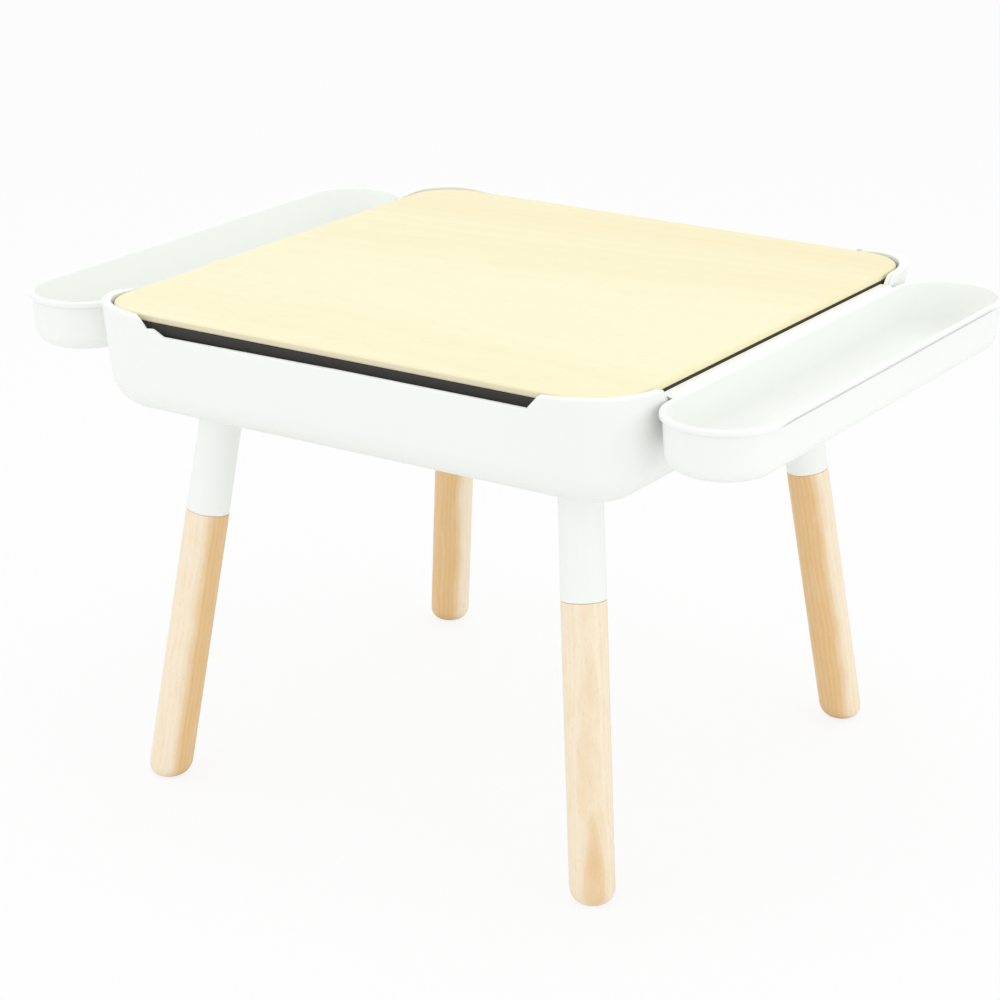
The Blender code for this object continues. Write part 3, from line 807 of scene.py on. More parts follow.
@dataclass(frozen=True)
class LayeredEdge:
    """Sawn and sanded edge of thin plywood, clear lacquered.

    The eye sees a beige band with fine lines where the plies meet and a slight end grain. The
    left and right sides carry painted light, a paler and yellower colour for the light that
    falls on them from the side.

    Attributes:
        light: Colour of the plies.
        dark: Their colour in the end grain.
        glue: Colour of the line where two plies meet.
        cross: Painted light: paler colour of the left and right sides, lit from the side.
        painted_side_light_share: Share of that colour there.
        painted_side_light_blend_mm: Half the width over which it comes up at a corner.
        ply_mm: Thickness of a ply.
        ply_tone: How much deeper every other ply is.
        glue_span: Places across a ply between which the glue line comes up.
        glue_share: Share of the glue's colour in its line.
        grain_mm: Size of the grain along and across the edge.
        relief_mm: Depth of the grain.
    """

    name: str = "sanded_plywood_edge"
    light: str = "#F6EED3"
    dark: str = "#E9DEBE"
    glue: str = "#CFBF94"
    cross: str = "#FCF3C5"
    painted_side_light_share: float = 0.8
    painted_side_light_blend_mm: float = 30.0
    ply_mm: float = 1.1
    ply_tone: float = 0.2
    glue_span: tuple[float, float] = (0.86, 0.97)
    glue_share: float = 0.4
    grain_mm: tuple[float, float] = (1.4, 0.5)
    relief_mm: float = 0.03
    roughness: float = 0.55
    ior: float = 1.5

    def material(self) -> bpy.types.Material:
        """Make the material.

        Returns:
            The material.
        """
        material, tree, shader = new_finish(self.name)
        place = add_node(tree, "ShaderNodeTexCoord").outputs["Object"]
        parts = add_node(tree, "ShaderNodeSeparateXYZ", {0: place})
        ply = add_node(tree, "ShaderNodeMath", {
            0: parts.outputs["Z"], 1: per_metre(self.ply_mm)}, operation="MULTIPLY")
        within = add_node(tree, "ShaderNodeMath", {0: ply.outputs[0]}, operation="FRACT")
        line = add_node(tree, "ShaderNodeMapRange", {
            "Value": within.outputs[0], "From Min": self.glue_span[0],
            "From Max": self.glue_span[1], "To Max": self.glue_share})
        turn = add_node(tree, "ShaderNodeMath", {
            0: within.outputs[0], 1: ply.outputs[0]}, operation="SUBTRACT")
        other = add_node(tree, "ShaderNodeMath", {
            0: turn.outputs[0], 1: 2.0}, operation="PINGPONG")
        across, along = per_metre(self.grain_mm[0]), per_metre(self.grain_mm[1])
        scaled = add_node(tree, "ShaderNodeVectorMath", {
            0: place, 1: (across, across, along)}, operation="MULTIPLY")
        grain = add_node(tree, "ShaderNodeTexNoise", {
            "Vector": scaled.outputs["Vector"], "Scale": 1.0, "Detail": 3.0})
        tone = add_node(tree, "ShaderNodeMath", {
            0: other.outputs[0], 1: self.ply_tone, 2: grain.outputs["Fac"]},
            operation="MULTIPLY_ADD")
        colour = add_node(tree, "ShaderNodeMix", {
            "Factor": tone.outputs[0], "A": linear(self.light), "B": linear(self.dark)},
            data_type="RGBA")
        lined = add_node(tree, "ShaderNodeMix", {
            "Factor": line.outputs["Result"], "A": colour.outputs["Result"],
            "B": linear(self.glue)}, data_type="RGBA")
        # painted light: where |x| passes |y|, the left and right sides blend to a paler colour
        # for the light from the side
        reach = [add_node(tree, "ShaderNodeMath", {0: parts.outputs[axis]},
                          operation="ABSOLUTE").outputs[0] for axis in "XY"]
        beyond = add_node(tree, "ShaderNodeMath", {0: reach[0], 1: reach[1]},
                          operation="SUBTRACT")
        painted_side_light = add_node(tree, "ShaderNodeMapRange", {
            "Value": beyond.outputs[0], "From Min": -self.painted_side_light_blend_mm * MM,
            "From Max": self.painted_side_light_blend_mm * MM, "To Max": self.painted_side_light_share},
            interpolation_type="SMOOTHSTEP")
        # the sides' painted light, mixed over the ply colour
        sanded = add_node(tree, "ShaderNodeMix", {
            "Factor": painted_side_light.outputs["Result"], "A": lined.outputs["Result"],
            "B": linear(self.cross)}, data_type="RGBA")
        bump = add_node(tree, "ShaderNodeBump", {
            "Height": grain.outputs["Fac"], "Distance": self.relief_mm * MM,
            "Strength": 0.5})
        set_inputs(tree, shader, {
            "Base Color": sanded.outputs["Result"], "Roughness": self.roughness,
            "Normal": bump.outputs["Normal"], "IOR": self.ior})
        return material


@dataclass(frozen=True)
class ChalkboardPaint:
    """Matt chalkboard paint, rolled on fibreboard.

    The eye sees a flat charcoal with the roller's fine stipple. On the writing face a haze of
    wiped chalk lies over it.

    Attributes:
        colour: Colour of the paint.
        worn: Its colour on the crests of the stipple.
        chalk: Colour of wiped chalk.
        stipple_mm: Size of the roller's stipple.
        smear_mm: Width and length of a wiped smear.
        smear_degrees: Turn of the smears on the board.
        haze_span: Levels of the noise between which the chalk grows thick.
        haze: Share of chalk at its thickest.
        relief_mm: Depth of the stipple.
        specular: Level of the reflection.
    """

    name: str = "rolled_chalkboard_paint"
    colour: str = "#3B3A38"
    worn: str = "#454442"
    chalk: str = "#9A9994"
    stipple_mm: float = 1.6
    smear_mm: tuple[float, float] = (26.0, 140.0)
    smear_degrees: float = 24.0
    haze_span: tuple[float, float] = (0.42, 0.78)
    haze: float = 0.0
    relief_mm: float = 0.05
    roughness: tuple[float, float] = (0.72, 0.86)
    specular: float = 0.3

    def material(self) -> bpy.types.Material:
        """Make the material.

        Returns:
            The material.
        """
        material, tree, shader = new_finish(self.name)
        place = add_node(tree, "ShaderNodeTexCoord").outputs["Object"]
        stipple = add_node(tree, "ShaderNodeTexNoise", {
            "Vector": place, "Scale": per_metre(self.stipple_mm), "Detail": 3.0})
        colour = add_node(tree, "ShaderNodeMix", {
            "Factor": stipple.outputs["Fac"], "A": linear(self.colour),
            "B": linear(self.worn)}, data_type="RGBA")
        turned = add_node(tree, "ShaderNodeMapping", {
            "Vector": place, "Rotation": (0.0, 0.0, math.radians(self.smear_degrees)),
            "Scale": (per_metre(self.smear_mm[1]), per_metre(self.smear_mm[0]), 1.0)})
        smear = add_node(tree, "ShaderNodeTexNoise", {
            "Vector": turned.outputs["Vector"], "Scale": 1.0, "Detail": 6.0,
            "Distortion": 0.8})
        thick = add_node(tree, "ShaderNodeMapRange", {
            "Value": smear.outputs["Fac"], "From Min": self.haze_span[0],
            "From Max": self.haze_span[1], "To Max": self.haze})
        hazed = add_node(tree, "ShaderNodeMix", {
            "Factor": thick.outputs["Result"], "A": colour.outputs["Result"],
            "B": linear(self.chalk)}, data_type="RGBA")
        matt = add_node(tree, "ShaderNodeMapRange", {
            "Value": stipple.outputs["Fac"], "To Min": self.roughness[0],
            "To Max": self.roughness[1]})
        bump = add_node(tree, "ShaderNodeBump", {
            "Height": stipple.outputs["Fac"], "Distance": self.relief_mm * MM,
            "Strength": 0.5})
        set_inputs(tree, shader, {
            "Base Color": hazed.outputs["Result"], "Roughness": matt.outputs["Result"],
            "Normal": bump.outputs["Normal"], "Specular IOR Level": self.specular})
        return material


@dataclass(frozen=True)
class MouldedNylon:
    """Dark nylon, moulded in a matt mould.

    The eye sees a dull dark brown with a faint fine grain, scuffed lighter in places.
    """

    name: str = "moulded_dark_nylon"
    colour: str = "#35281F"
    scuff: str = "#55463A"
    scuff_mm: float = 2.5
    scuff_span: tuple[float, float] = (0.5, 0.8)
    grain_mm: float = 0.5
    relief_mm: float = 0.02
    roughness: tuple[float, float] = (0.50, 0.72)
    ior: float = 1.53

    def material(self) -> bpy.types.Material:
        """Make the material.

        Returns:
            The material.
        """
        material, tree, shader = new_finish(self.name)
        place = add_node(tree, "ShaderNodeTexCoord").outputs["Object"]
        scuff = add_node(tree, "ShaderNodeTexNoise", {
            "Vector": place, "Scale": per_metre(self.scuff_mm), "Detail": 5.0})
        share = add_node(tree, "ShaderNodeMapRange", {
            "Value": scuff.outputs["Fac"], "From Min": self.scuff_span[0],
            "From Max": self.scuff_span[1]})
        colour = add_node(tree, "ShaderNodeMix", {
            "Factor": share.outputs["Result"], "A": linear(self.colour),
            "B": linear(self.scuff)}, data_type="RGBA")
        matt = add_node(tree, "ShaderNodeMapRange", {
            "Value": scuff.outputs["Fac"], "To Min": self.roughness[0],
            "To Max": self.roughness[1]})
        grain = add_node(tree, "ShaderNodeTexNoise", {
            "Vector": place, "Scale": per_metre(self.grain_mm), "Detail": 2.0})
        bump = add_node(tree, "ShaderNodeBump", {
            "Height": grain.outputs["Fac"], "Distance": self.relief_mm * MM,
            "Strength": 0.5})
        set_inputs(tree, shader, {
            "Base Color": colour.outputs["Result"], "Roughness": matt.outputs["Result"],
            "Normal": bump.outputs["Normal"], "IOR": self.ior})
        return material


@dataclass(frozen=True)
class FastenerMetal:
    """Metal of a small turned or rolled fastener, with its plating or bare.

    The eye sees a metal gloss that the cutting or rolling dulls in fine rings, with cloudy
    tone where it was handled.

    Attributes:
        colour: Colour of the clean metal.
        clouded: Its colour where it was handled.
        cloud_mm: Size of the cloudy tone.
        tool_mm: Width of the rings.
        ring_squash: Share of the rings' unevenness that is left across the axis.
        relief_mm: Depth of the rings.
    """

    name: str
    colour: str
    clouded: str
    cloud_mm: float
    tool_mm: float
    roughness: tuple[float, float]
    ring_squash: float = 0.1
    relief_mm: float = 0.01

    def material(self) -> bpy.types.Material:
        """Make the material.

        Returns:
            The material.
        """
        material, tree, shader = new_finish(self.name)
        place = add_node(tree, "ShaderNodeTexCoord").outputs["Object"]
        cloud = add_node(tree, "ShaderNodeTexNoise", {
            "Vector": place, "Scale": per_metre(self.cloud_mm), "Detail": 4.0})
        colour = add_node(tree, "ShaderNodeMix", {
            "Factor": cloud.outputs["Fac"], "A": linear(self.colour),
            "B": linear(self.clouded)}, data_type="RGBA")
        flat = add_node(tree, "ShaderNodeVectorMath", {
            0: place, 1: (self.ring_squash, self.ring_squash, 1.0)}, operation="MULTIPLY")
        tool = add_node(tree, "ShaderNodeTexNoise", {
            "Vector": flat.outputs["Vector"], "Scale": per_metre(self.tool_mm),
            "Detail": 2.0})
        gloss = add_node(tree, "ShaderNodeMapRange", {
            "Value": tool.outputs["Fac"], "To Min": self.roughness[0],
            "To Max": self.roughness[1]})
        bump = add_node(tree, "ShaderNodeBump", {
            "Height": tool.outputs["Fac"], "Distance": self.relief_mm * MM,
            "Strength": 0.4})
        set_inputs(tree, shader, {
            "Base Color": colour.outputs["Result"], "Roughness": gloss.outputs["Result"],
            "Normal": bump.outputs["Normal"], "Metallic": 1.0})
        return material


@dataclass
class Finishes:
    """Every material of the table, made once."""

    abs_white: bpy.types.Material = field(default_factory=lambda: MouldedAbs().material())
    beech: bpy.types.Material = field(default_factory=lambda: TurnedBeech().material())
    veneer: bpy.types.Material = field(default_factory=lambda: PaleVeneer().material())
    ply_edge: bpy.types.Material = field(default_factory=lambda: LayeredEdge().material())
    chalk_edge: bpy.types.Material = field(
        default_factory=lambda: ChalkboardPaint().material())
    chalk_face: bpy.types.Material = field(default_factory=lambda: ChalkboardPaint(
        name="wiped_chalkboard_paint", haze=0.35).material())
    nylon: bpy.types.Material = field(default_factory=lambda: MouldedNylon().material())
    zinc: bpy.types.Material = field(default_factory=lambda: FastenerMetal(
        "zinc_plated_steel", "#C4C8CC", "#A9AEB5", 6.0, 0.25, (0.24, 0.42)).material())
    brass: bpy.types.Material = field(default_factory=lambda: FastenerMetal(
        "turned_brass", "#D8B669", "#BE9748", 5.0, 0.2, (0.20, 0.36)).material())


# Tub


@dataclass
class Tub:
    """The moulded tub, with its notched rim, corner shelves and leg spigots."""

    half: float = 0.260
    corner: float = 0.052
    underside: float = 0.339
    rim_top: float = 0.4307
    rim_wall: float = 0.0073
    rim_round: float = 0.0019
    draft_foot: float = 0.4292
    draft_degrees: float = 5.2
    wall: float = 0.004
    floor: float = 0.004
    fillet: float = 0.034
    notch_floor: float = 0.4163
    notch_half: float = 0.1836
    # how much nearer the middle the right ends of the front and back notches stand
    right_shift: float = 0.0046
    notch_wall: float = 0.006
    notch_skin: float = 0.0027
    skin_round: float = 0.0007
    ledge_drop: float = 0.0024
    shoulder: tuple[float, float] = (0.1940, 0.4279)
    end_reaches: tuple[float, ...] = (0.0008, 0.0016)
    # place and height along the left halves of the front and back notches, which sink a little
    step_skin: tuple[tuple[float, float], ...] = (
        (0.0, 0.4162), (0.1697, 0.4145), (0.1797, 0.4198), (0.1872, 0.4189), (0.1936, 0.4279))
    step_ledge: tuple[tuple[float, float], ...] = (
        (0.0, 0.4139), (0.1727, 0.4126), (0.1827, 0.4176), (0.1906, 0.4166), (0.1992, 0.4283))
    step_reaches: tuple[float, ...] = (0.0015, 0.0022, 0.0005, 0.0016)
    crest_end: float = 0.226
    crest_reach: float = 0.010
    crest_far: float = 1.0
    wall_foot: float = 0.4072
    # rows at the foot of the well's upright wall: height over the foot, and inset past the wall
    wall_bend: tuple[tuple[float, float], ...] = (
        (0.0030, 0.0), (0.0, 0.0001), (-0.0030, 0.00035))
    wall_head: float = 0.4185
    seam: float = 0.0003
    groove: float = 0.0002
    shelf_levels: tuple[float, float] = (0.4087, 0.4127)
    shelf_diagonal: float = 0.4315
    shelf_root: float = 0.002
    shelf_edge: float = 0.0008
    corner_steps: int = 44
    # close points reach this far past a notch's end, and these lie before the corner
    close_margin: float = 0.003
    corner_margins: tuple[float, ...] = (0.005, 0.002)
    side_points: tuple[int, int] = (23, 72)
    fillet_steps: int = 12
    rim_steps: int = 7
    wall_points: int = 9
    shelf_points: int = 17

    @property
    def slope(self) -> float:
        """How far the drafted wall moves in for each metre down."""
        return math.tan(math.radians(self.draft_degrees))

    def wall_inset(self, height: np.ndarray | float) -> np.ndarray | float:
        """How far in from the outline the outer wall stands at a height."""
        return (self.draft_foot - height) * self.slope

    def outline(self) -> np.ndarray:
        """Plan outline, with close points where the notches end.

        Returns:
            Array of (x, y).
        """
        reach = self.half - self.corner
        low = self.step_skin[1][0] - self.close_margin
        high = self.step_ledge[-1][0] + self.close_margin
        middle_points, end_points = self.side_points
        half = np.concatenate((np.linspace(0, low, middle_points)[:-1],
                               np.linspace(low, high, end_points),
                               reach - np.array(self.corner_margins)))
        along = np.concatenate((-half[:0:-1], half))
        return rounded_outline(self.half, self.half, self.corner, along, along,
                               self.corner_steps)

    def plain_half(self, drop: float, shift: float = 0.0) -> tuple[tuple[float, float], ...]:
        """Middle, foot and shoulder of a plain half of a notch.

        Args:
            drop: How far below the outer skin the notch's floor lies.
            shift: How much nearer the middle the end stands.

        Returns:
            Place and height of each.
        """
        place, height = self.shoulder
        level = self.notch_floor - drop
        rise = (height - self.notch_floor) / (place - self.notch_half)
        return ((0.0, level), (self.notch_half - shift - drop / rise, level),
                (place - shift, height))

    def notch_line(self, half: tuple[tuple[float, float], ...]) -> np.ndarray:
        """Height of the rim against the distance from a notch's middle.

        It is the notch's floor, the notch's end, and a gentle slope up to the full height.

        Args:
            half: Places and heights from the notch's middle to its shoulder.

        Returns:
            Array of (place, height).
        """
        stepped = half in (self.step_skin, self.step_ledge)
        bends = self.step_reaches if stepped else self.end_reaches
        points = (*half, (self.crest_end, self.rim_top), (self.crest_far, self.rim_top))
        return eased_line(np.array(points), np.array((*bends, self.crest_reach)))

    def crest(self, outline: np.ndarray, side: tuple, left: tuple, right: tuple) -> np.ndarray:
        """Height of the rim over each plan point.

        Each side's height follows its notch's line by the distance from the side's middle,
        and of the heights that the sides give, the lower holds.

        Args:
            outline: Array of (x, y).
            side: Both halves of the left and right notches.
            left: Left halves of the front and back notches, seen from outside.
            right: Their right halves.

        Returns:
            One height for each point.
        """
        across, along = np.abs(outline).T
        beside, on_left, on_right = (
            np.interp(place, *self.notch_line(half).T)
            for place, half in ((along, side), (across, left), (across, right)))
        front = np.where(outline[:, 0] * outline[:, 1] > 0, on_left, on_right)
        return np.minimum(front, beside)

    def fillet_stations(self, level: float, inset: float, radius: float) -> np.ndarray:
        """Round between a level floor and the drafted wall, from the floor up.

        Its centre is one radius above the floor and one radius square in from the wall.

        Args:
            level: Height of the floor.
            inset: Inset of the wall's line at that height.
            radius: Radius of the round.

        Returns:
            Array of (height, inset).
        """
        centre = inset + radius * (math.hypot(1, self.slope) - self.slope)
        return arc_stations(level + radius, centre, radius, -90, -self.draft_degrees,
                            self.fillet_steps)

    def shell(self) -> Shell:
        """Skin of the tub: up the outside, over the rim and down inside.

        Where the rim is whole its top is flat between two rounds. In a notch only a thin
        outer skin reaches the notch's floor, and a ledge behind it lies lower.

        Returns:
            The tub's skin.
        """
        outline = self.outline()
        drop, shift = self.ledge_drop, self.right_shift
        top = self.crest(outline, self.plain_half(0.0), self.step_skin,
                         self.plain_half(0.0, shift))[None]
        ledge = self.crest(outline, self.plain_half(drop), self.step_ledge,
                           self.plain_half(drop, shift))[None]
        notched = np.clip((top - ledge) / drop, 0, 1)
        thickness = self.rim_wall + notched * (self.notch_wall - self.rim_wall)
        flat = np.ones_like(top)
        turn = self.rim_round
        outer = self.fillet_stations(self.underside, self.wall_inset(self.underside), self.fillet)
        inner_level = self.underside + self.floor
        inner = self.fillet_stations(
            inner_level, self.wall_inset(inner_level) + self.wall, self.fillet - self.wall)[::-1]
        rise = np.linspace(0, 1, self.wall_points)[1:-1, None]
        wall_height = outer[-1, 0] + rise * (top - turn - outer[-1, 0])
        over = arc_stations(-turn, turn, turn, -self.draft_degrees, 90, self.rim_steps)
        skin = arc_stations(-self.skin_round, self.notch_skin - self.skin_round,
                            self.skin_round, 90, 180, PLATE_STEPS)
        under = arc_stations(-turn, -turn, turn, 90, 180, self.rim_steps)
        bend = np.array(self.wall_bend)
        heights = [outer[:, :1] * flat, wall_height, top + over[:, :1],
                   top + notched * skin[:, :1], ledge + self.seam * notched,
                   ledge + under[:, :1],
                   np.minimum(self.wall_head, ledge - turn - self.seam),
                   (self.wall_foot + bend[:, :1]) * flat, inner[:, :1] * flat]
        insets = [outer[:, 1:] * flat, self.wall_inset(wall_height),
                  np.maximum(self.wall_inset(top - turn), 0) + over[:, 1:],
                  skin[:, 1:] * flat, (self.notch_skin + self.groove) * flat,
                  thickness + under[:, 1:], thickness,
                  (self.notch_wall + bend[:, 1:]) * flat, inner[:, 1:] * flat]
        return Shell(capped(swept_rings(outline, np.concatenate(heights),
                                        np.concatenate(insets))))

    def shelf(self, turn: int) -> Shell:
        """Shelf in one corner of the well, which carries the board.

        Its plan is the corner of the well, a little into the wall, cut off by a diagonal.

        Args:
            turn: Number of quarter turns from the back right corner.

        Returns:
            The shelf.
        """
        half = self.half - self.rim_wall + self.shelf_root
        radius = self.corner - self.rim_wall + self.shelf_root
        angle = np.radians(np.linspace(0, 90, self.shelf_points))
        swept = half - radius + radius * np.stack((np.cos(angle), np.sin(angle)), axis=1)
        near = self.shelf_diagonal - half
        outline = np.concatenate(([[half, near]], swept, [[near, half]]))
        quarter = np.linalg.matrix_power(np.array([[0, -1], [1, 0]]), turn)
        return Shell(plate(outline @ quarter.T, *self.shelf_levels, self.shelf_edge))

    def build(self, finishes: Finishes, legs: "LegSet") -> None:
        """Make the tub as one piece.

        Args:
            finishes: The table's materials.
            legs: The legs, whose spigots are moulded on the tub.
        """
        shells = [self.shell()]
        shells += [self.shelf(turn) for turn in range(len(Corner))]
        shells += [legs.spigot(corner) for corner in Corner]
        Piece("moulded_tub", shells, [finishes.abs_white], Body.FRAME, Slot.WHITE_PLASTIC,
              ("tub",)).build()


# Board


@dataclass
class Board:
    """The loose board: a wood-faced layer above a chalkboard layer."""

    half: float = 0.250
    corner: float = 0.042
    wood_levels: tuple[float, float] = (0.42168, 0.4285)
    chalk_levels: tuple[float, float] = (0.4130, 0.4216)
    wood_edge: float = 0.0022
    chalk_edge: float = 0.0004
    # least share of a normal that points up or down on a face, and not on an edge
    wood_face: float = 0.3
    chalk_face: float = 0.7
    corner_steps: int = 32
    side_steps: int = 12

    def outline(self) -> np.ndarray:
        """Plan outline of both layers.

        Returns:
            Array of (x, y).
        """
        reach = self.half - self.corner
        along = np.linspace(-reach, reach, self.side_steps + 1)[1:-1]
        return rounded_outline(self.half, self.half, self.corner, along, along,
                               self.corner_steps)

    def build(self, finishes: Finishes) -> None:
        """Make both layers, each with its own edge and face.

        Args:
            finishes: The table's materials.
        """
        outline = self.outline()
        wood = Shell(plate(outline, *self.wood_levels, self.wood_edge))
        chalk = Shell(plate(outline, *self.chalk_levels, self.chalk_edge))
        Piece("board_wood_layer", [wood], [finishes.ply_edge, finishes.veneer], Body.BOARD,
              Slot.PALE_WOOD, ("board_wood_face",),
              choose=lambda normal: normal[:, 2] > self.wood_face).build()
        Piece("board_chalk_layer", [chalk], [finishes.chalk_edge, finishes.chalk_face],
              Body.BOARD, Slot.CHALKBOARD, ("board_chalk_face",),
              choose=lambda normal: -normal[:, 2] > self.chalk_face).build()


# Legs


@dataclass(frozen=True)
class Thread:
    """Screw thread.

    Attributes:
        pitch: Rise of one turn.
        depth: Depth of its groove.
        steepness: How fast the flanks fall; above 1 the crest is narrow and the root flat.
    """

    pitch: float
    depth: float
    steepness: float

    def relief(self, along: np.ndarray, sides: int) -> np.ndarray:
        """Depth of the groove, which runs out over one pitch at both ends.

        The distance along the axis over the pitch, less the share of the turn, gives the
        place across the thread, and the depth grows evenly away from the crest.

        Args:
            along: Distances along the axis, rising.
            sides: Number of points round the axis.

        Returns:
            Array of distances by sides.
        """
        turn = np.arange(sides) / sides
        across = np.abs(2 * ((along[:, None] / self.pitch - turn) % 1) - 1)
        fade = np.clip(np.minimum(along - along[0], along[-1] - along) / self.pitch, 0, 1)
        return self.depth * np.clip(self.steepness * across, 0, 1) * fade[:, None]


@dataclass
class LegSet:
    """The four splayed legs, with their sleeves, glides and fastenings."""

    root_radius: float = 0.1758 * math.sqrt(2)
    foot_radius: float = 0.21725 * math.sqrt(2)
    root_height: float = 0.339
    leg_radius: float = 0.0185
    foot_height: float = 0.0012
    foot_round: tuple[float, float] = (0.0095, 0.0125)
    shoulder_edge: float = 0.0007
    sleeve_length: float = 0.0985
    sleeve_radii: tuple[float, float] = (0.0184, 0.01775)
    sleeve_edge: float = 0.0005
    bore_radius: float = 0.0144
    plug_radius: float = 0.0141
    spigot_length: float = 0.024
    joint_gap: float = 0.0003
    tenon_gap: float = 0.0006
    glide_radius: float = 0.008
    glide_thickness: float = 0.002
    pin_radius: float = 0.0015
    pin_length: float = 0.013
    bolt_radius: float = 0.004
    bolt_length: float = 0.046
    bolt_in_wood: float = 0.029
    bolt_point: float = 0.007
    bolt_shank: tuple[float, float] = (0.024, 0.030)
    bolt_sides: int = 36
    wood_thread: Thread = Thread(0.0030, 0.0010, 2.2)
    machine_thread: Thread = Thread(0.00125, 0.0006, 1.1)
    insert_radius: float = 0.006
    insert_length: float = 0.018
    insert_edge: float = 0.0006
    insert_groove: float = 0.0005
    knurl_depth: float = 0.0003
    knurl_ridges: int = 24
    # for each corner: degrees from outside to the tree's middle, shift from it, and its lean;
    # the dark wood they place is partly real figure and partly painted shade, on three legs
    # turned to the sides that face in under the tub
    hearts_and_painted_shade: tuple[tuple[float, float, float], ...] = (
        (186.0, -0.0010, 0.0), (112.0, 0.0022, 0.0), (164.0, 0.0034, 0.0),
        (-8.0, 0.0192, 0.027))
    # each leg is cut this far along the wood from the one before
    wood_step: float = 0.75
    # lengths over which the leg turns square above its foot, and the bore below its level end
    foot_square: float = 0.05
    bore_square: float = 0.02
    tenon_edge: float = 0.001
    glide_edge: float = 0.0005
    pin_edge: float = 0.001
    spigot_edge: float = 0.0008
    spigot_root: float = 0.002
    hole_rest: float = 0.001
    # share of the radius at the bolt's point, and of the insert on each side of its middle
    point_share: float = 0.3
    bare_share: float = 0.09
    sides: int = 96
    glide_sides: int = 48
    spigot_sides: int = 64
    foot_points: int = 15
    shaft_points: int = 25
    sleeve_points: int = 13
    # rows along the wood thread, the bolt's machine thread, the ridges and the insert's thread
    thread_rows: tuple[int, int] = (90, 110)
    insert_rows: tuple[int, int] = (41, 116)

    def axes(self, corner: Corner) -> tuple[np.ndarray, np.ndarray]:
        """Foot point of one leg's axis, and its own axes.

        Args:
            corner: Which leg.

        Returns:
            The foot point, and the outward, sideways and upward directions as rows.
        """
        angle = math.radians(corner.value)
        out = np.array((math.cos(angle), math.sin(angle), 0.0))
        foot = out * self.foot_radius
        up = out * self.root_radius + np.array((0.0, 0.0, self.root_height)) - foot
        up /= np.linalg.norm(up)
        side = np.array((-math.sin(angle), math.cos(angle), 0.0))
        return foot, np.array((np.cross(side, up), side, up))

    @property
    def lean(self) -> float:
        """Rise of the leg's axis for each metre along it."""
        run = self.foot_radius - self.root_radius
        return self.root_height / math.hypot(run, self.root_height)

    @property
    def shoulder(self) -> float:
        """Distance along the axis from the floor to the leg's shoulder."""
        return self.root_height / self.lean - self.sleeve_length

    @property
    def spigot_end(self) -> float:
        """Distance along the axis from the floor to the spigot's lower end."""
        return self.root_height / self.lean - self.spigot_length

    @property
    def tenon_end(self) -> float:
        """Distance along the axis from the floor to the tenon's upper end."""
        return self.spigot_end - self.tenon_gap

    def turned(self, corner: Corner, stations: np.ndarray, sides: int | None = None,
               relief: np.ndarray | float = 0.0) -> np.ndarray:
        """Turn a profile about one leg's axis.

        A station holds the distance along the axis, the radius, and a level share. At 0 the
        ring stands square to the axis. At 1 its points slide along the axis until they are
        all at one height, as the cut of a level plane.

        Args:
            corner: Which leg.
            stations: Array of (along, radius, level).
            sides: Number of points round the axis.
            relief: Depth taken off the radius, stations by sides.

        Returns:
            Grid of points.
        """
        foot, (out, side, up) = self.axes(corner)
        angle = np.linspace(0, 2 * math.pi, sides or self.sides, endpoint=False)
        spoke = np.cos(angle)[:, None] * out + np.sin(angle)[:, None] * side
        slide = -stations[:, 2:] * spoke[None, :, 2] / up[2]
        direction = spoke[None] + slide[..., None] * up
        radius = stations[:, 1:2] - relief
        return foot + up * stations[:, :1, None] + direction * radius[..., None]

    def wood_place(self, corner: Corner) -> Callable[[np.ndarray], np.ndarray]:
        """Place of a leg's points in its own axes, each leg cut from its own length of wood.

        Args:
            corner: Which leg.

        Returns:
            Function from points to places in the wood.
        """
        foot, axes = self.axes(corner)
        number = list(Corner).index(corner)
        turn, border, lean = self.hearts_and_painted_shade[number]
        turn = math.radians(turn)
        away = np.array((-math.cos(turn), -math.sin(turn), lean))
        across = np.array((math.sin(turn), -math.cos(turn), 0.0))
        to_wood = np.array((away, across, (0.0, 0.0, 1.0))) @ axes
        shift = np.array((border, 0.0, self.wood_step * number))
        return lambda points: (points - foot) @ to_wood.T + shift

    def leg(self, corner: Corner) -> Shell:
        """Leg with its round foot, seat for the glide, shoulder, tenon and bolt hole.

        The foot's round is a quarter of an ellipse: its radius grows with the sine of the
        angle and its height with one less the cosine.

        Args:
            corner: Which leg.

        Returns:
            The leg.
        """
        angle = np.linspace(0, math.pi / 2, self.foot_points)
        width, height = self.foot_round
        foot = np.stack(((self.foot_height + height * (1 - np.cos(angle))) / self.lean,
                         self.leg_radius - width * (1 - np.sin(angle)),
                         np.ones_like(angle)), axis=1)
        along = np.linspace(foot[-1, 0], self.shoulder - self.shoulder_edge,
                            self.shaft_points)[1:]
        shaft = np.stack((along, np.full_like(along, self.leg_radius),
                          np.clip(1 - (along - foot[-1, 0]) / self.foot_square, 0, 1)), axis=1)
        turn = arc_stations(self.shoulder - self.shoulder_edge, 0.0, self.shoulder_edge, 0, 90)
        edge = np.stack((turn[:, 0], self.leg_radius - self.shoulder_edge - turn[:, 1],
                         np.zeros(len(turn))), axis=1)[1:]
        tenon_end = self.tenon_end
        hole = self.bolt_radius + self.joint_gap
        hole_end = tenon_end - self.bolt_in_wood - self.joint_gap
        pin = self.pin_radius + self.joint_gap
        base = self.foot_height / self.lean
        seat = (self.glide_thickness + self.joint_gap) / self.lean
        rim = self.glide_radius + self.joint_gap
        before = np.array(((seat + self.pin_length, 0, 0), (seat + self.pin_length, pin, 0),
                           (seat, pin, 1), (seat, rim, 1), (base, rim, 1)))
        after = np.array(((self.shoulder, self.plug_radius, 0),
                          (tenon_end - self.tenon_edge, self.plug_radius, 0),
                          (tenon_end, self.plug_radius - self.tenon_edge, 0),
                          (tenon_end, hole, 0), (hole_end, hole, 0), (hole_end, 0, 0)))
        return Shell(self.turned(corner, np.concatenate((before, foot, shaft, edge, after))))

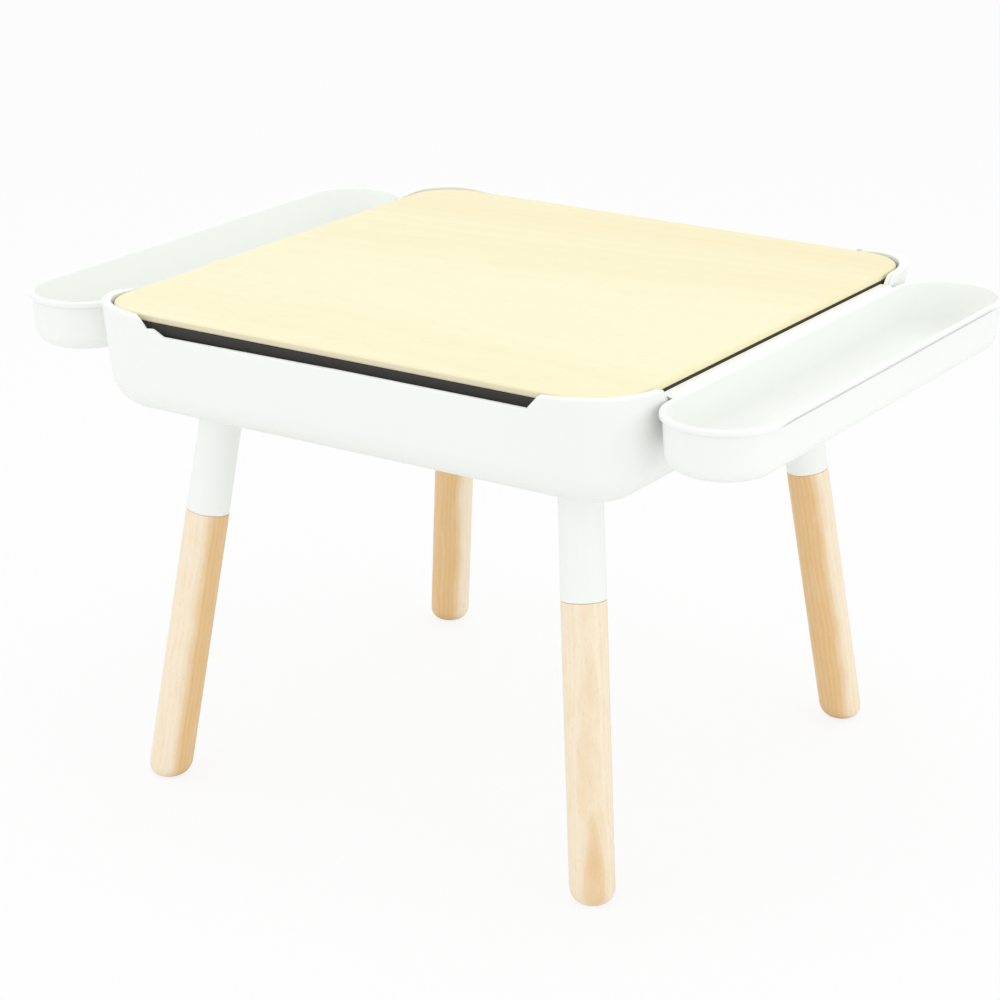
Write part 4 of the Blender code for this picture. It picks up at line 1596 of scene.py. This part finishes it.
    def sleeve(self, corner: Corner) -> Shell:
        """Sleeve: square to the axis below, with a fine round, and cut level under the tub.

        Args:
            corner: Which leg.

        Returns:
            The sleeve.
        """
        low = self.shoulder + self.joint_gap
        high = self.root_height / self.lean
        edge = self.sleeve_edge
        wide, narrow = self.sleeve_radii
        turn = arc_stations(0.0, 0.0, edge, -90, 0, PLATE_STEPS)
        foot = np.stack((low + edge + turn[:, 0], wide - edge - turn[:, 1],
                         np.zeros(len(turn))), axis=1)
        share = np.linspace(0, 1, self.sleeve_points)[1:]
        body = np.stack((low + edge + share * (high - low - edge),
                         wide + share * (narrow - wide), share ** 2), axis=1)
        inside = np.array(((high, self.bore_radius, 1),
                           (low + self.bore_square, self.bore_radius, 0),
                           (low, self.bore_radius, 0)))
        return Shell(self.turned(corner, np.concatenate((foot, body, inside))), wrap_rows=True)

    def glide(self, corner: Corner) -> Shell:
        """Glide: a level disc with a softly rounded rim, and a pin that enters the foot.

        Args:
            corner: Which leg.

        Returns:
            The glide.
        """
        edge = self.glide_edge
        turn = arc_stations(edge, 0.0, edge, -90, 0, PLATE_STEPS)
        rim = np.stack((turn[:, 0] / self.lean, self.glide_radius - edge - turn[:, 1],
                        np.ones(len(turn))), axis=1)
        top = self.glide_thickness / self.lean
        tip = top + self.pin_length - self.joint_gap
        before = np.array(((0, 0, 1), (0, self.glide_radius / 2, 1)))
        after = np.array(((top, self.glide_radius, 1), (top, self.pin_radius, 1),
                          (tip - self.pin_edge, self.pin_radius, 0),
                          (tip, self.pin_radius / 2, 0), (tip, 0, 0)))
        stations = np.concatenate((before, rim, after))
        return Shell(self.turned(corner, stations, self.glide_sides))

    def spigot(self, corner: Corner) -> Shell:
        """Spigot under the tub, with the blind hole that holds the insert.

        Args:
            corner: Which leg.

        Returns:
            The spigot.
        """
        end, edge = self.spigot_end, self.spigot_edge
        hole_top = end + self.insert_length + self.hole_rest
        hole = self.insert_radius + self.joint_gap
        root = (self.root_height + self.spigot_root) / self.lean
        stations = np.array(((hole_top, 0, 0), (hole_top, hole, 0), (end, hole, 0),
                             (end, self.plug_radius - edge, 0),
                             (end + edge, self.plug_radius, 0),
                             (root, self.plug_radius, 1), (root, 0, 1)))
        return Shell(self.turned(corner, stations, self.spigot_sides))

    def bolt(self, corner: Corner) -> Shell:
        """Hanger bolt: a pointed wood thread below, a bare shank, a machine thread above.

        The radius grows evenly from the point to its full size, less the threads' relief.

        Args:
            corner: Which leg.

        Returns:
            The bolt.
        """
        start = self.tenon_end - self.bolt_in_wood
        end = start + self.bolt_length
        edge = self.machine_thread.depth
        wood = np.linspace(start, start + self.bolt_shank[0], self.thread_rows[0])
        machine = np.linspace(start + self.bolt_shank[1], end - edge, self.thread_rows[1])
        relief = np.concatenate([thread.relief(along, self.bolt_sides) for thread, along in
                                 ((self.wood_thread, wood), (self.machine_thread, machine))])
        along = np.concatenate((wood, machine))
        point = np.clip(self.point_share + (along - start) / self.bolt_point, 0, 1)
        body = np.stack((along, self.bolt_radius * point, np.zeros_like(along)), axis=1)
        stations = np.concatenate(([[start, 0, 0]], body, [[end, self.bolt_radius - edge, 0],
                                                           [end, 0, 0]]))
        relief = np.pad(relief * point[:, None], ((1, 2), (0, 0)))
        return Shell(self.turned(corner, stations, self.bolt_sides, relief))

    def insert(self, corner: Corner) -> Shell:
        """Insert: two bands of straight ridges outside, a machine thread inside.

        The ridges' depth follows one plus the cosine of the ridge number times the angle.

        Args:
            corner: Which leg.

        Returns:
            The insert.
        """
        low, high = self.spigot_end, self.spigot_end + self.insert_length
        edge = self.insert_edge
        share = np.linspace(0, 1, self.insert_rows[0])
        outside = low + edge + share * (high - low - 2 * edge)
        angle = np.linspace(0, 2 * math.pi, self.sides, endpoint=False)
        ridges = self.knurl_depth * (1 + np.cos(self.knurl_ridges * angle)) / 2
        bare = (np.abs(share - 0.5) < self.bare_share)[:, None]
        thread = self.machine_thread
        inside = np.linspace(low, high, self.insert_rows[1])
        groove = thread.relief(inside + thread.pitch / 2, self.sides)
        along = np.concatenate(([low], outside, [high], inside[::-1]))
        radius = np.concatenate(([self.insert_radius - edge],
                                 np.full(len(outside), self.insert_radius),
                                 [self.insert_radius - edge],
                                 np.full(len(inside), self.bolt_radius + self.joint_gap)))
        relief = np.concatenate((np.zeros((1, self.sides)),
                                 np.where(bare, self.insert_groove, ridges),
                                 np.zeros((1, self.sides)), -groove[::-1]))
        stations = np.stack((along, radius, np.zeros_like(along)), axis=1)
        return Shell(self.turned(corner, stations, relief=relief), wrap_rows=True)

    def build(self, finishes: Finishes) -> None:
        """Make the pieces of all four legs.

        Args:
            finishes: The table's materials.
        """
        made = (
            ("beech_leg_", self.leg, finishes.beech, Slot.BEECH, "leg_"),
            ("white_sleeve_", self.sleeve, finishes.abs_white, Slot.WHITE_PLASTIC,
             "leg_sleeve_"),
            ("nylon_glide_", self.glide, finishes.nylon, Slot.DARK_PLASTIC, "foot_glide_"),
            ("zinc_bolt_", self.bolt, finishes.zinc, Slot.STEEL, "hanger_bolt_"),
            ("brass_insert_", self.insert, finishes.brass, Slot.BRASS, "threaded_insert_"),
        )
        for corner in Corner:
            for name, shape, finish, slot, node in made:
                grain = self.wood_place(corner) if slot is Slot.BEECH else None
                Piece(name + corner.label, [shape(corner)], [finish], Body.FRAME, slot,
                      (node + corner.label,), grain=grain).build()


# Trays


@dataclass
class Tray:
    """One tray, with its rolled lip, flange over the notch, hook and standoff ribs."""

    centre: float = 0.3095
    half_width: float = 0.0485
    half_length: float = 0.239
    underside: float = 0.3745
    top: float = 0.4190
    wall: float = 0.0025
    floor: float = 0.003
    fillet: float = 0.014
    draft_degrees: float = 3.5
    lip_overhang: float = 0.0025
    lip_height: float = 0.0045
    lip_round: float = 0.0019
    lip_skin: float = 0.0010
    groove_depth: float = 0.0018
    # along the outer straight side the lip is lower by this share, over a recess in the wall
    lip_saving: float = 0.62
    recess_depth: float = 0.0013
    recess_drop: float = 0.0012
    recess_step: float = 0.0003
    # both fade over this length at the side's ends, a third of it past the ends
    recess_fade: float = 0.014
    recess_past: float = 0.014 / 3
    flange_x: tuple[float, float] = (0.2506, 0.2652)
    flange_levels: tuple[float, float] = (0.4163, 0.4207)
    flange_flat: float = 0.0078
    flange_edge: float = 0.0009
    flange_half: float = 0.1828
    flange_slant: float = 0.909
    hook_x: tuple[float, float] = (0.2506, 0.2532)
    hook_levels: tuple[float, float] = (0.4043, 0.4177)
    hook_half: float = 0.150
    rib_x: tuple[float, float] = (0.2592, 0.2656)
    rib_levels: tuple[float, float] = (0.390, 0.412)
    rib_middle: float = 0.120
    rib_thickness: float = 0.004
    inner_round: float = 0.0012
    seam: float = 0.0002
    flange_fall: float = 0.0001
    flange_root: float = 0.001
    flange_points: int = 13
    hook_corner: float = 0.0011
    hook_edge: float = 0.0010
    rib_corner: float = 0.0010
    rib_edge: float = 0.0009
    end_steps: int = 40
    side_steps: int = 24
    fillet_steps: int = 9
    lip_steps: int = 7
    groove_steps: int = 8
    hook_steps: int = 16

    def profile(self) -> tuple[np.ndarray, np.ndarray, np.ndarray]:
        """Section of the bin: up the outside, round the turned-down lip and down inside.

        Returns:
            Array of (height, inset), whether each row is the lip's, and whether it is the
            recess's.
        """
        slope = math.tan(math.radians(self.draft_degrees))
        ease = math.hypot(1, slope) - slope
        lip_foot = self.top - self.lip_height
        foot_inset = self.lip_overhang + (lip_foot - self.underside) * slope
        outer = arc_stations(self.underside + self.fillet, foot_inset + self.fillet * ease,
                             self.fillet, -90, -self.draft_degrees, self.fillet_steps)
        low = lip_foot - self.recess_drop
        levels = np.array([[low], [low + self.recess_step], [lip_foot - self.seam]])
        recess = np.hstack((levels, self.lip_overhang + (lip_foot - levels) * slope))
        skin, lip, turn = self.lip_skin, self.lip_round, self.inner_round
        groove = (self.lip_overhang - skin) / 2
        inner_edge = self.lip_overhang + self.wall
        rim = np.concatenate((
            arc_stations(lip_foot + self.groove_depth - groove, skin + groove, groove, 180, 0,
                         self.groove_steps),
            arc_stations(lip_foot + skin / 2, skin / 2, skin / 2, -180, 0),
            arc_stations(self.top - lip, lip, lip, 0, 90, self.lip_steps)))
        down = arc_stations(self.top - turn, inner_edge - turn, turn, 90, 180, BLOCK_STEPS)
        level, fillet = self.underside + self.floor, self.fillet - self.wall
        inner_inset = inner_edge + (lip_foot - level) * slope
        inner = arc_stations(level + fillet, inner_inset + fillet * ease, fillet,
                             -self.draft_degrees, -90, self.fillet_steps)
        rows = np.concatenate((outer, recess, rim, down, inner))
        place = np.arange(len(rows))[:, None] - len(outer)
        of_lip = (place >= 2) & (place < len(recess) + len(rim))
        return rows, of_lip, (place == 1) | (place == 2)

    def shell(self) -> Shell:
        """Skin of the bin, whose lip is lower along the outer straight side.

        There the lip's heights under the top shrink by one share and the wall steps in under
        it. Both fade evenly to nothing at the side's ends.

        Returns:
            The bin's skin.
        """
        reach = self.half_length - self.half_width
        along = np.linspace(-reach, reach, self.side_steps + 1)[1:-1]
        outline = rounded_outline(self.half_width, self.half_length, self.half_width,
                                  np.zeros(0), along, self.end_steps, (self.centre, 0.0))
        rows, of_lip, of_recess = self.profile()
        straight = (outline[:, 0] > self.centre) * np.clip(
            (reach + self.recess_past - np.abs(outline[:, 1])) / self.recess_fade, 0, 1)
        heights = self.top - (self.top - rows[:, :1]) * (
            1 - self.lip_saving * straight * of_lip)
        insets = rows[:, 1:] + self.recess_depth * straight * of_recess
        return Shell(capped(swept_rings(outline, heights, insets)))

    def flange(self) -> Shell:
        """Flange over the notch, whose ends follow the notch's slant.

        Its section has a rounded inner edge and a level top that falls to the lip by half a
        cosine wave. The section runs along Y and draws in on a quarter round at both ends,
        and Y grows in proportion to the height over the underside.

        Returns:
            The flange.
        """
        low, high = self.flange_levels
        edge = self.flange_edge
        start, width = self.flange_flat, self.flange_x[1] - self.flange_x[0]
        share = np.linspace(0, 1, self.flange_points)
        fall = (high - self.top + self.flange_fall) * (1 - np.cos(math.pi * share)) / 2
        section = np.concatenate((
            arc_stations(low + edge, edge, edge, -90, 0, PLATE_STEPS),
            arc_stations(high - edge, edge, edge, 0, 90),
            np.stack((high - fall, start + share * (width - start)), axis=1),
            [[low, width - self.flange_root]]))[::-1]
        reach = self.flange_half - edge
        along = np.linspace(-reach, reach, self.side_steps + 1)[1:-1]
        rows = np.concatenate((arc_stations(-reach, edge, edge, -90, 0, PLATE_STEPS),
                               np.stack((along, np.zeros_like(along)), axis=1),
                               arc_stations(reach, edge, edge, 0, 90, PLATE_STEPS)))
        grid = swept_rings(section[:, ::-1], rows[:, :1], rows[:, 1:])[..., (0, 2, 1)]
        grid[..., 0] += self.flange_x[0]
        grid[..., 1] *= 1 + (grid[..., 2] - low) * self.flange_slant / self.flange_half
        return Shell(capped(grid))

    def hook(self) -> Shell:
        """Hook that hangs inside the tub wall, with a rounded lower edge."""
        outline = box_outline((self.hook_x[0], -self.hook_half),
                              (self.hook_x[1], self.hook_half), self.hook_corner,
                              self.hook_steps)
        return Shell(plate(outline, *self.hook_levels, self.hook_edge))

    def rib(self, side: int) -> Shell:
        """Upright rib that keeps the tray off the tub wall.

        Args:
            side: 1 for the rib towards the back, -1 for the one towards the front.

        Returns:
            The rib.
        """
        middle = side * self.rib_middle
        half = self.rib_thickness / 2
        outline = box_outline((self.rib_x[0], middle - half), (self.rib_x[1], middle + half),
                              self.rib_corner)
        return Shell(plate(outline, *self.rib_levels, self.rib_edge))

    def build(self, finishes: Finishes) -> None:
        """Make both trays; the left one is the right one turned half round.

        Args:
            finishes: The table's materials.
        """
        shells = [self.shell(), self.flange(), self.hook(), self.rib(-1), self.rib(1)]
        turned = [Shell(shell.points * np.array((-1, -1, 1))) for shell in shells]
        Piece("right_storage_tray", shells, [finishes.abs_white], Body.RIGHT_TRAY,
              Slot.WHITE_PLASTIC, ("tray_right",)).build()
        Piece("left_storage_tray", turned, [finishes.abs_white], Body.LEFT_TRAY,
              Slot.WHITE_PLASTIC, ("tray_left",)).build()


# Studio


@dataclass(frozen=True)
class Softbox:
    """One wide white lamp.

    Attributes:
        name: Name of the lamp.
        place: Where it hangs.
        aim: Point that it faces.
        size: Its width and height.
        watts: Its power.
        colour: Colour of its light.
    """

    name: str
    place: tuple[float, float, float]
    aim: tuple[float, float, float]
    size: tuple[float, float]
    watts: float
    colour: str = "#FFFFFF"


@dataclass
class Studio:
    """Camera, pale floor, soft lamps and white surroundings."""

    camera_place: tuple[float, float, float] = (1.2718, -1.9521, 1.0655)
    camera_aim: tuple[float, float, float] = (0.0954, -0.16651, 0.300)
    lens: float = 102.62
    sensor_mm: float = 36.0
    clip_end: float = 100.0
    floor_half: float = 9.0
    floor_colour: str = "#F4F4F4"
    shadow_share: float = 0.17
    ambient: float = 0.900
    softboxes: tuple[Softbox, ...] = (
        Softbox("right_softbox", (2.4, -0.2, 1.0), (0.0, 0.0, 0.35), (1.8, 1.4), 6.0),
        Softbox("front_softbox", (-1.4, -2.2, 1.2), (0.0, 0.0, 0.35), (1.6, 1.4), 5.5),
        Softbox("top_softbox", (0.0, 0.3, 2.6), (0.0, 0.0, 0.4), (2.2, 2.2), 9.0),
    )

    def aimed(self, name: str, data: bpy.types.ID, place: tuple[float, float, float],
              aim: tuple[float, float, float]) -> bpy.types.Object:
        """Place a camera or lamp and point it.

        Args:
            name: Name of the object.
            data: Its camera or lamp.
            place: Where it stands.
            aim: Point that it faces.

        Returns:
            The object.
        """
        obj = bpy.data.objects.new(name, data)
        obj.location = place
        way = Vector(aim) - Vector(place)
        obj.rotation_euler = way.to_track_quat("-Z", "Y").to_euler()
        bpy.context.scene.collection.objects.link(obj)
        return obj

    def build_camera(self) -> None:
        """Stand the camera where the photograph was taken from."""
        data = bpy.data.cameras.new("photo_camera")
        data.lens = self.lens
        data.sensor_width = self.sensor_mm
        data.clip_end = self.clip_end
        camera = self.aimed("photo_camera", data, self.camera_place, self.camera_aim)
        bpy.context.scene.camera = camera

    def build_floor(self) -> None:
        """Lay the pale floor, which shows white to the camera with a faint shadow."""
        material = bpy.data.materials.new("studio_floor")
        material.use_nodes = True
        tree = material.node_tree
        tree.nodes.clear()
        matt = add_node(tree, "ShaderNodeBsdfDiffuse", {"Color": linear(self.floor_colour)})
        white = add_node(tree, "ShaderNodeEmission", {"Strength": 1.0})
        seen = add_node(tree, "ShaderNodeLightPath").outputs["Is Camera Ray"]
        share = add_node(tree, "ShaderNodeMath", {0: seen, 1: 1 - self.shadow_share},
                         operation="MULTIPLY")
        mixed = add_node(tree, "ShaderNodeMixShader", {
            0: share.outputs[0], 1: matt.outputs[0], 2: white.outputs[0]})
        add_node(tree, "ShaderNodeOutputMaterial", {"Surface": mixed.outputs[0]})
        reach = self.floor_half
        mesh = bpy.data.meshes.new("studio_floor")
        mesh.from_pydata([(-reach, -reach, 0), (reach, -reach, 0), (reach, reach, 0),
                          (-reach, reach, 0)], [], [(0, 1, 2, 3)])
        mesh.materials.append(material)
        floor = bpy.data.objects.new("studio_floor", mesh)
        bpy.context.scene.collection.objects.link(floor)

    def build_world(self) -> None:
        """Surround the table with white, which lights it at a plain level."""
        world = bpy.data.worlds.new("studio_white")
        bpy.context.scene.world = world
        world.use_nodes = True
        tree = world.node_tree
        tree.nodes.clear()
        path = add_node(tree, "ShaderNodeLightPath")
        seen = path.outputs["Is Camera Ray"]
        for way in ("Is Glossy Ray", "Is Transmission Ray"):
            seen = add_node(tree, "ShaderNodeMath", {0: seen, 1: path.outputs[way]},
                            operation="MAXIMUM").outputs[0]
        level = add_node(tree, "ShaderNodeMapRange", {
            "Value": seen, "To Min": self.ambient, "To Max": 1.0})
        white = add_node(tree, "ShaderNodeBackground", {
            "Color": (1.0, 1.0, 1.0, 1.0), "Strength": level.outputs["Result"]})
        add_node(tree, "ShaderNodeOutputWorld", {"Surface": white.outputs[0]})

    def build_lamps(self) -> None:
        """Hang the softboxes."""
        for box in self.softboxes:
            data = bpy.data.lights.new(box.name, "AREA")
            data.shape = "RECTANGLE"
            data.size, data.size_y = box.size
            data.energy = box.watts
            data.color = linear(box.colour)[:3]
            self.aimed(box.name, data, box.place, box.aim)

    def build(self) -> None:
        """Set up the whole studio."""
        self.build_camera()
        self.build_floor()
        self.build_world()
        self.build_lamps()
        bpy.context.scene.view_settings.view_transform = "Standard"
        log.info("studio: camera, floor, world and %d lamps", len(self.softboxes))


def main() -> None:
    """Build the table in order, then the studio."""
    logging.basicConfig(level=logging.INFO, format="%(name)s: %(message)s")
    finishes = Finishes()
    legs = LegSet()
    Tub().build(finishes, legs)
    Board().build(finishes)
    legs.build(finishes)
    Tray().build(finishes)
    Studio().build()


if __name__ == "__main__":
    main()
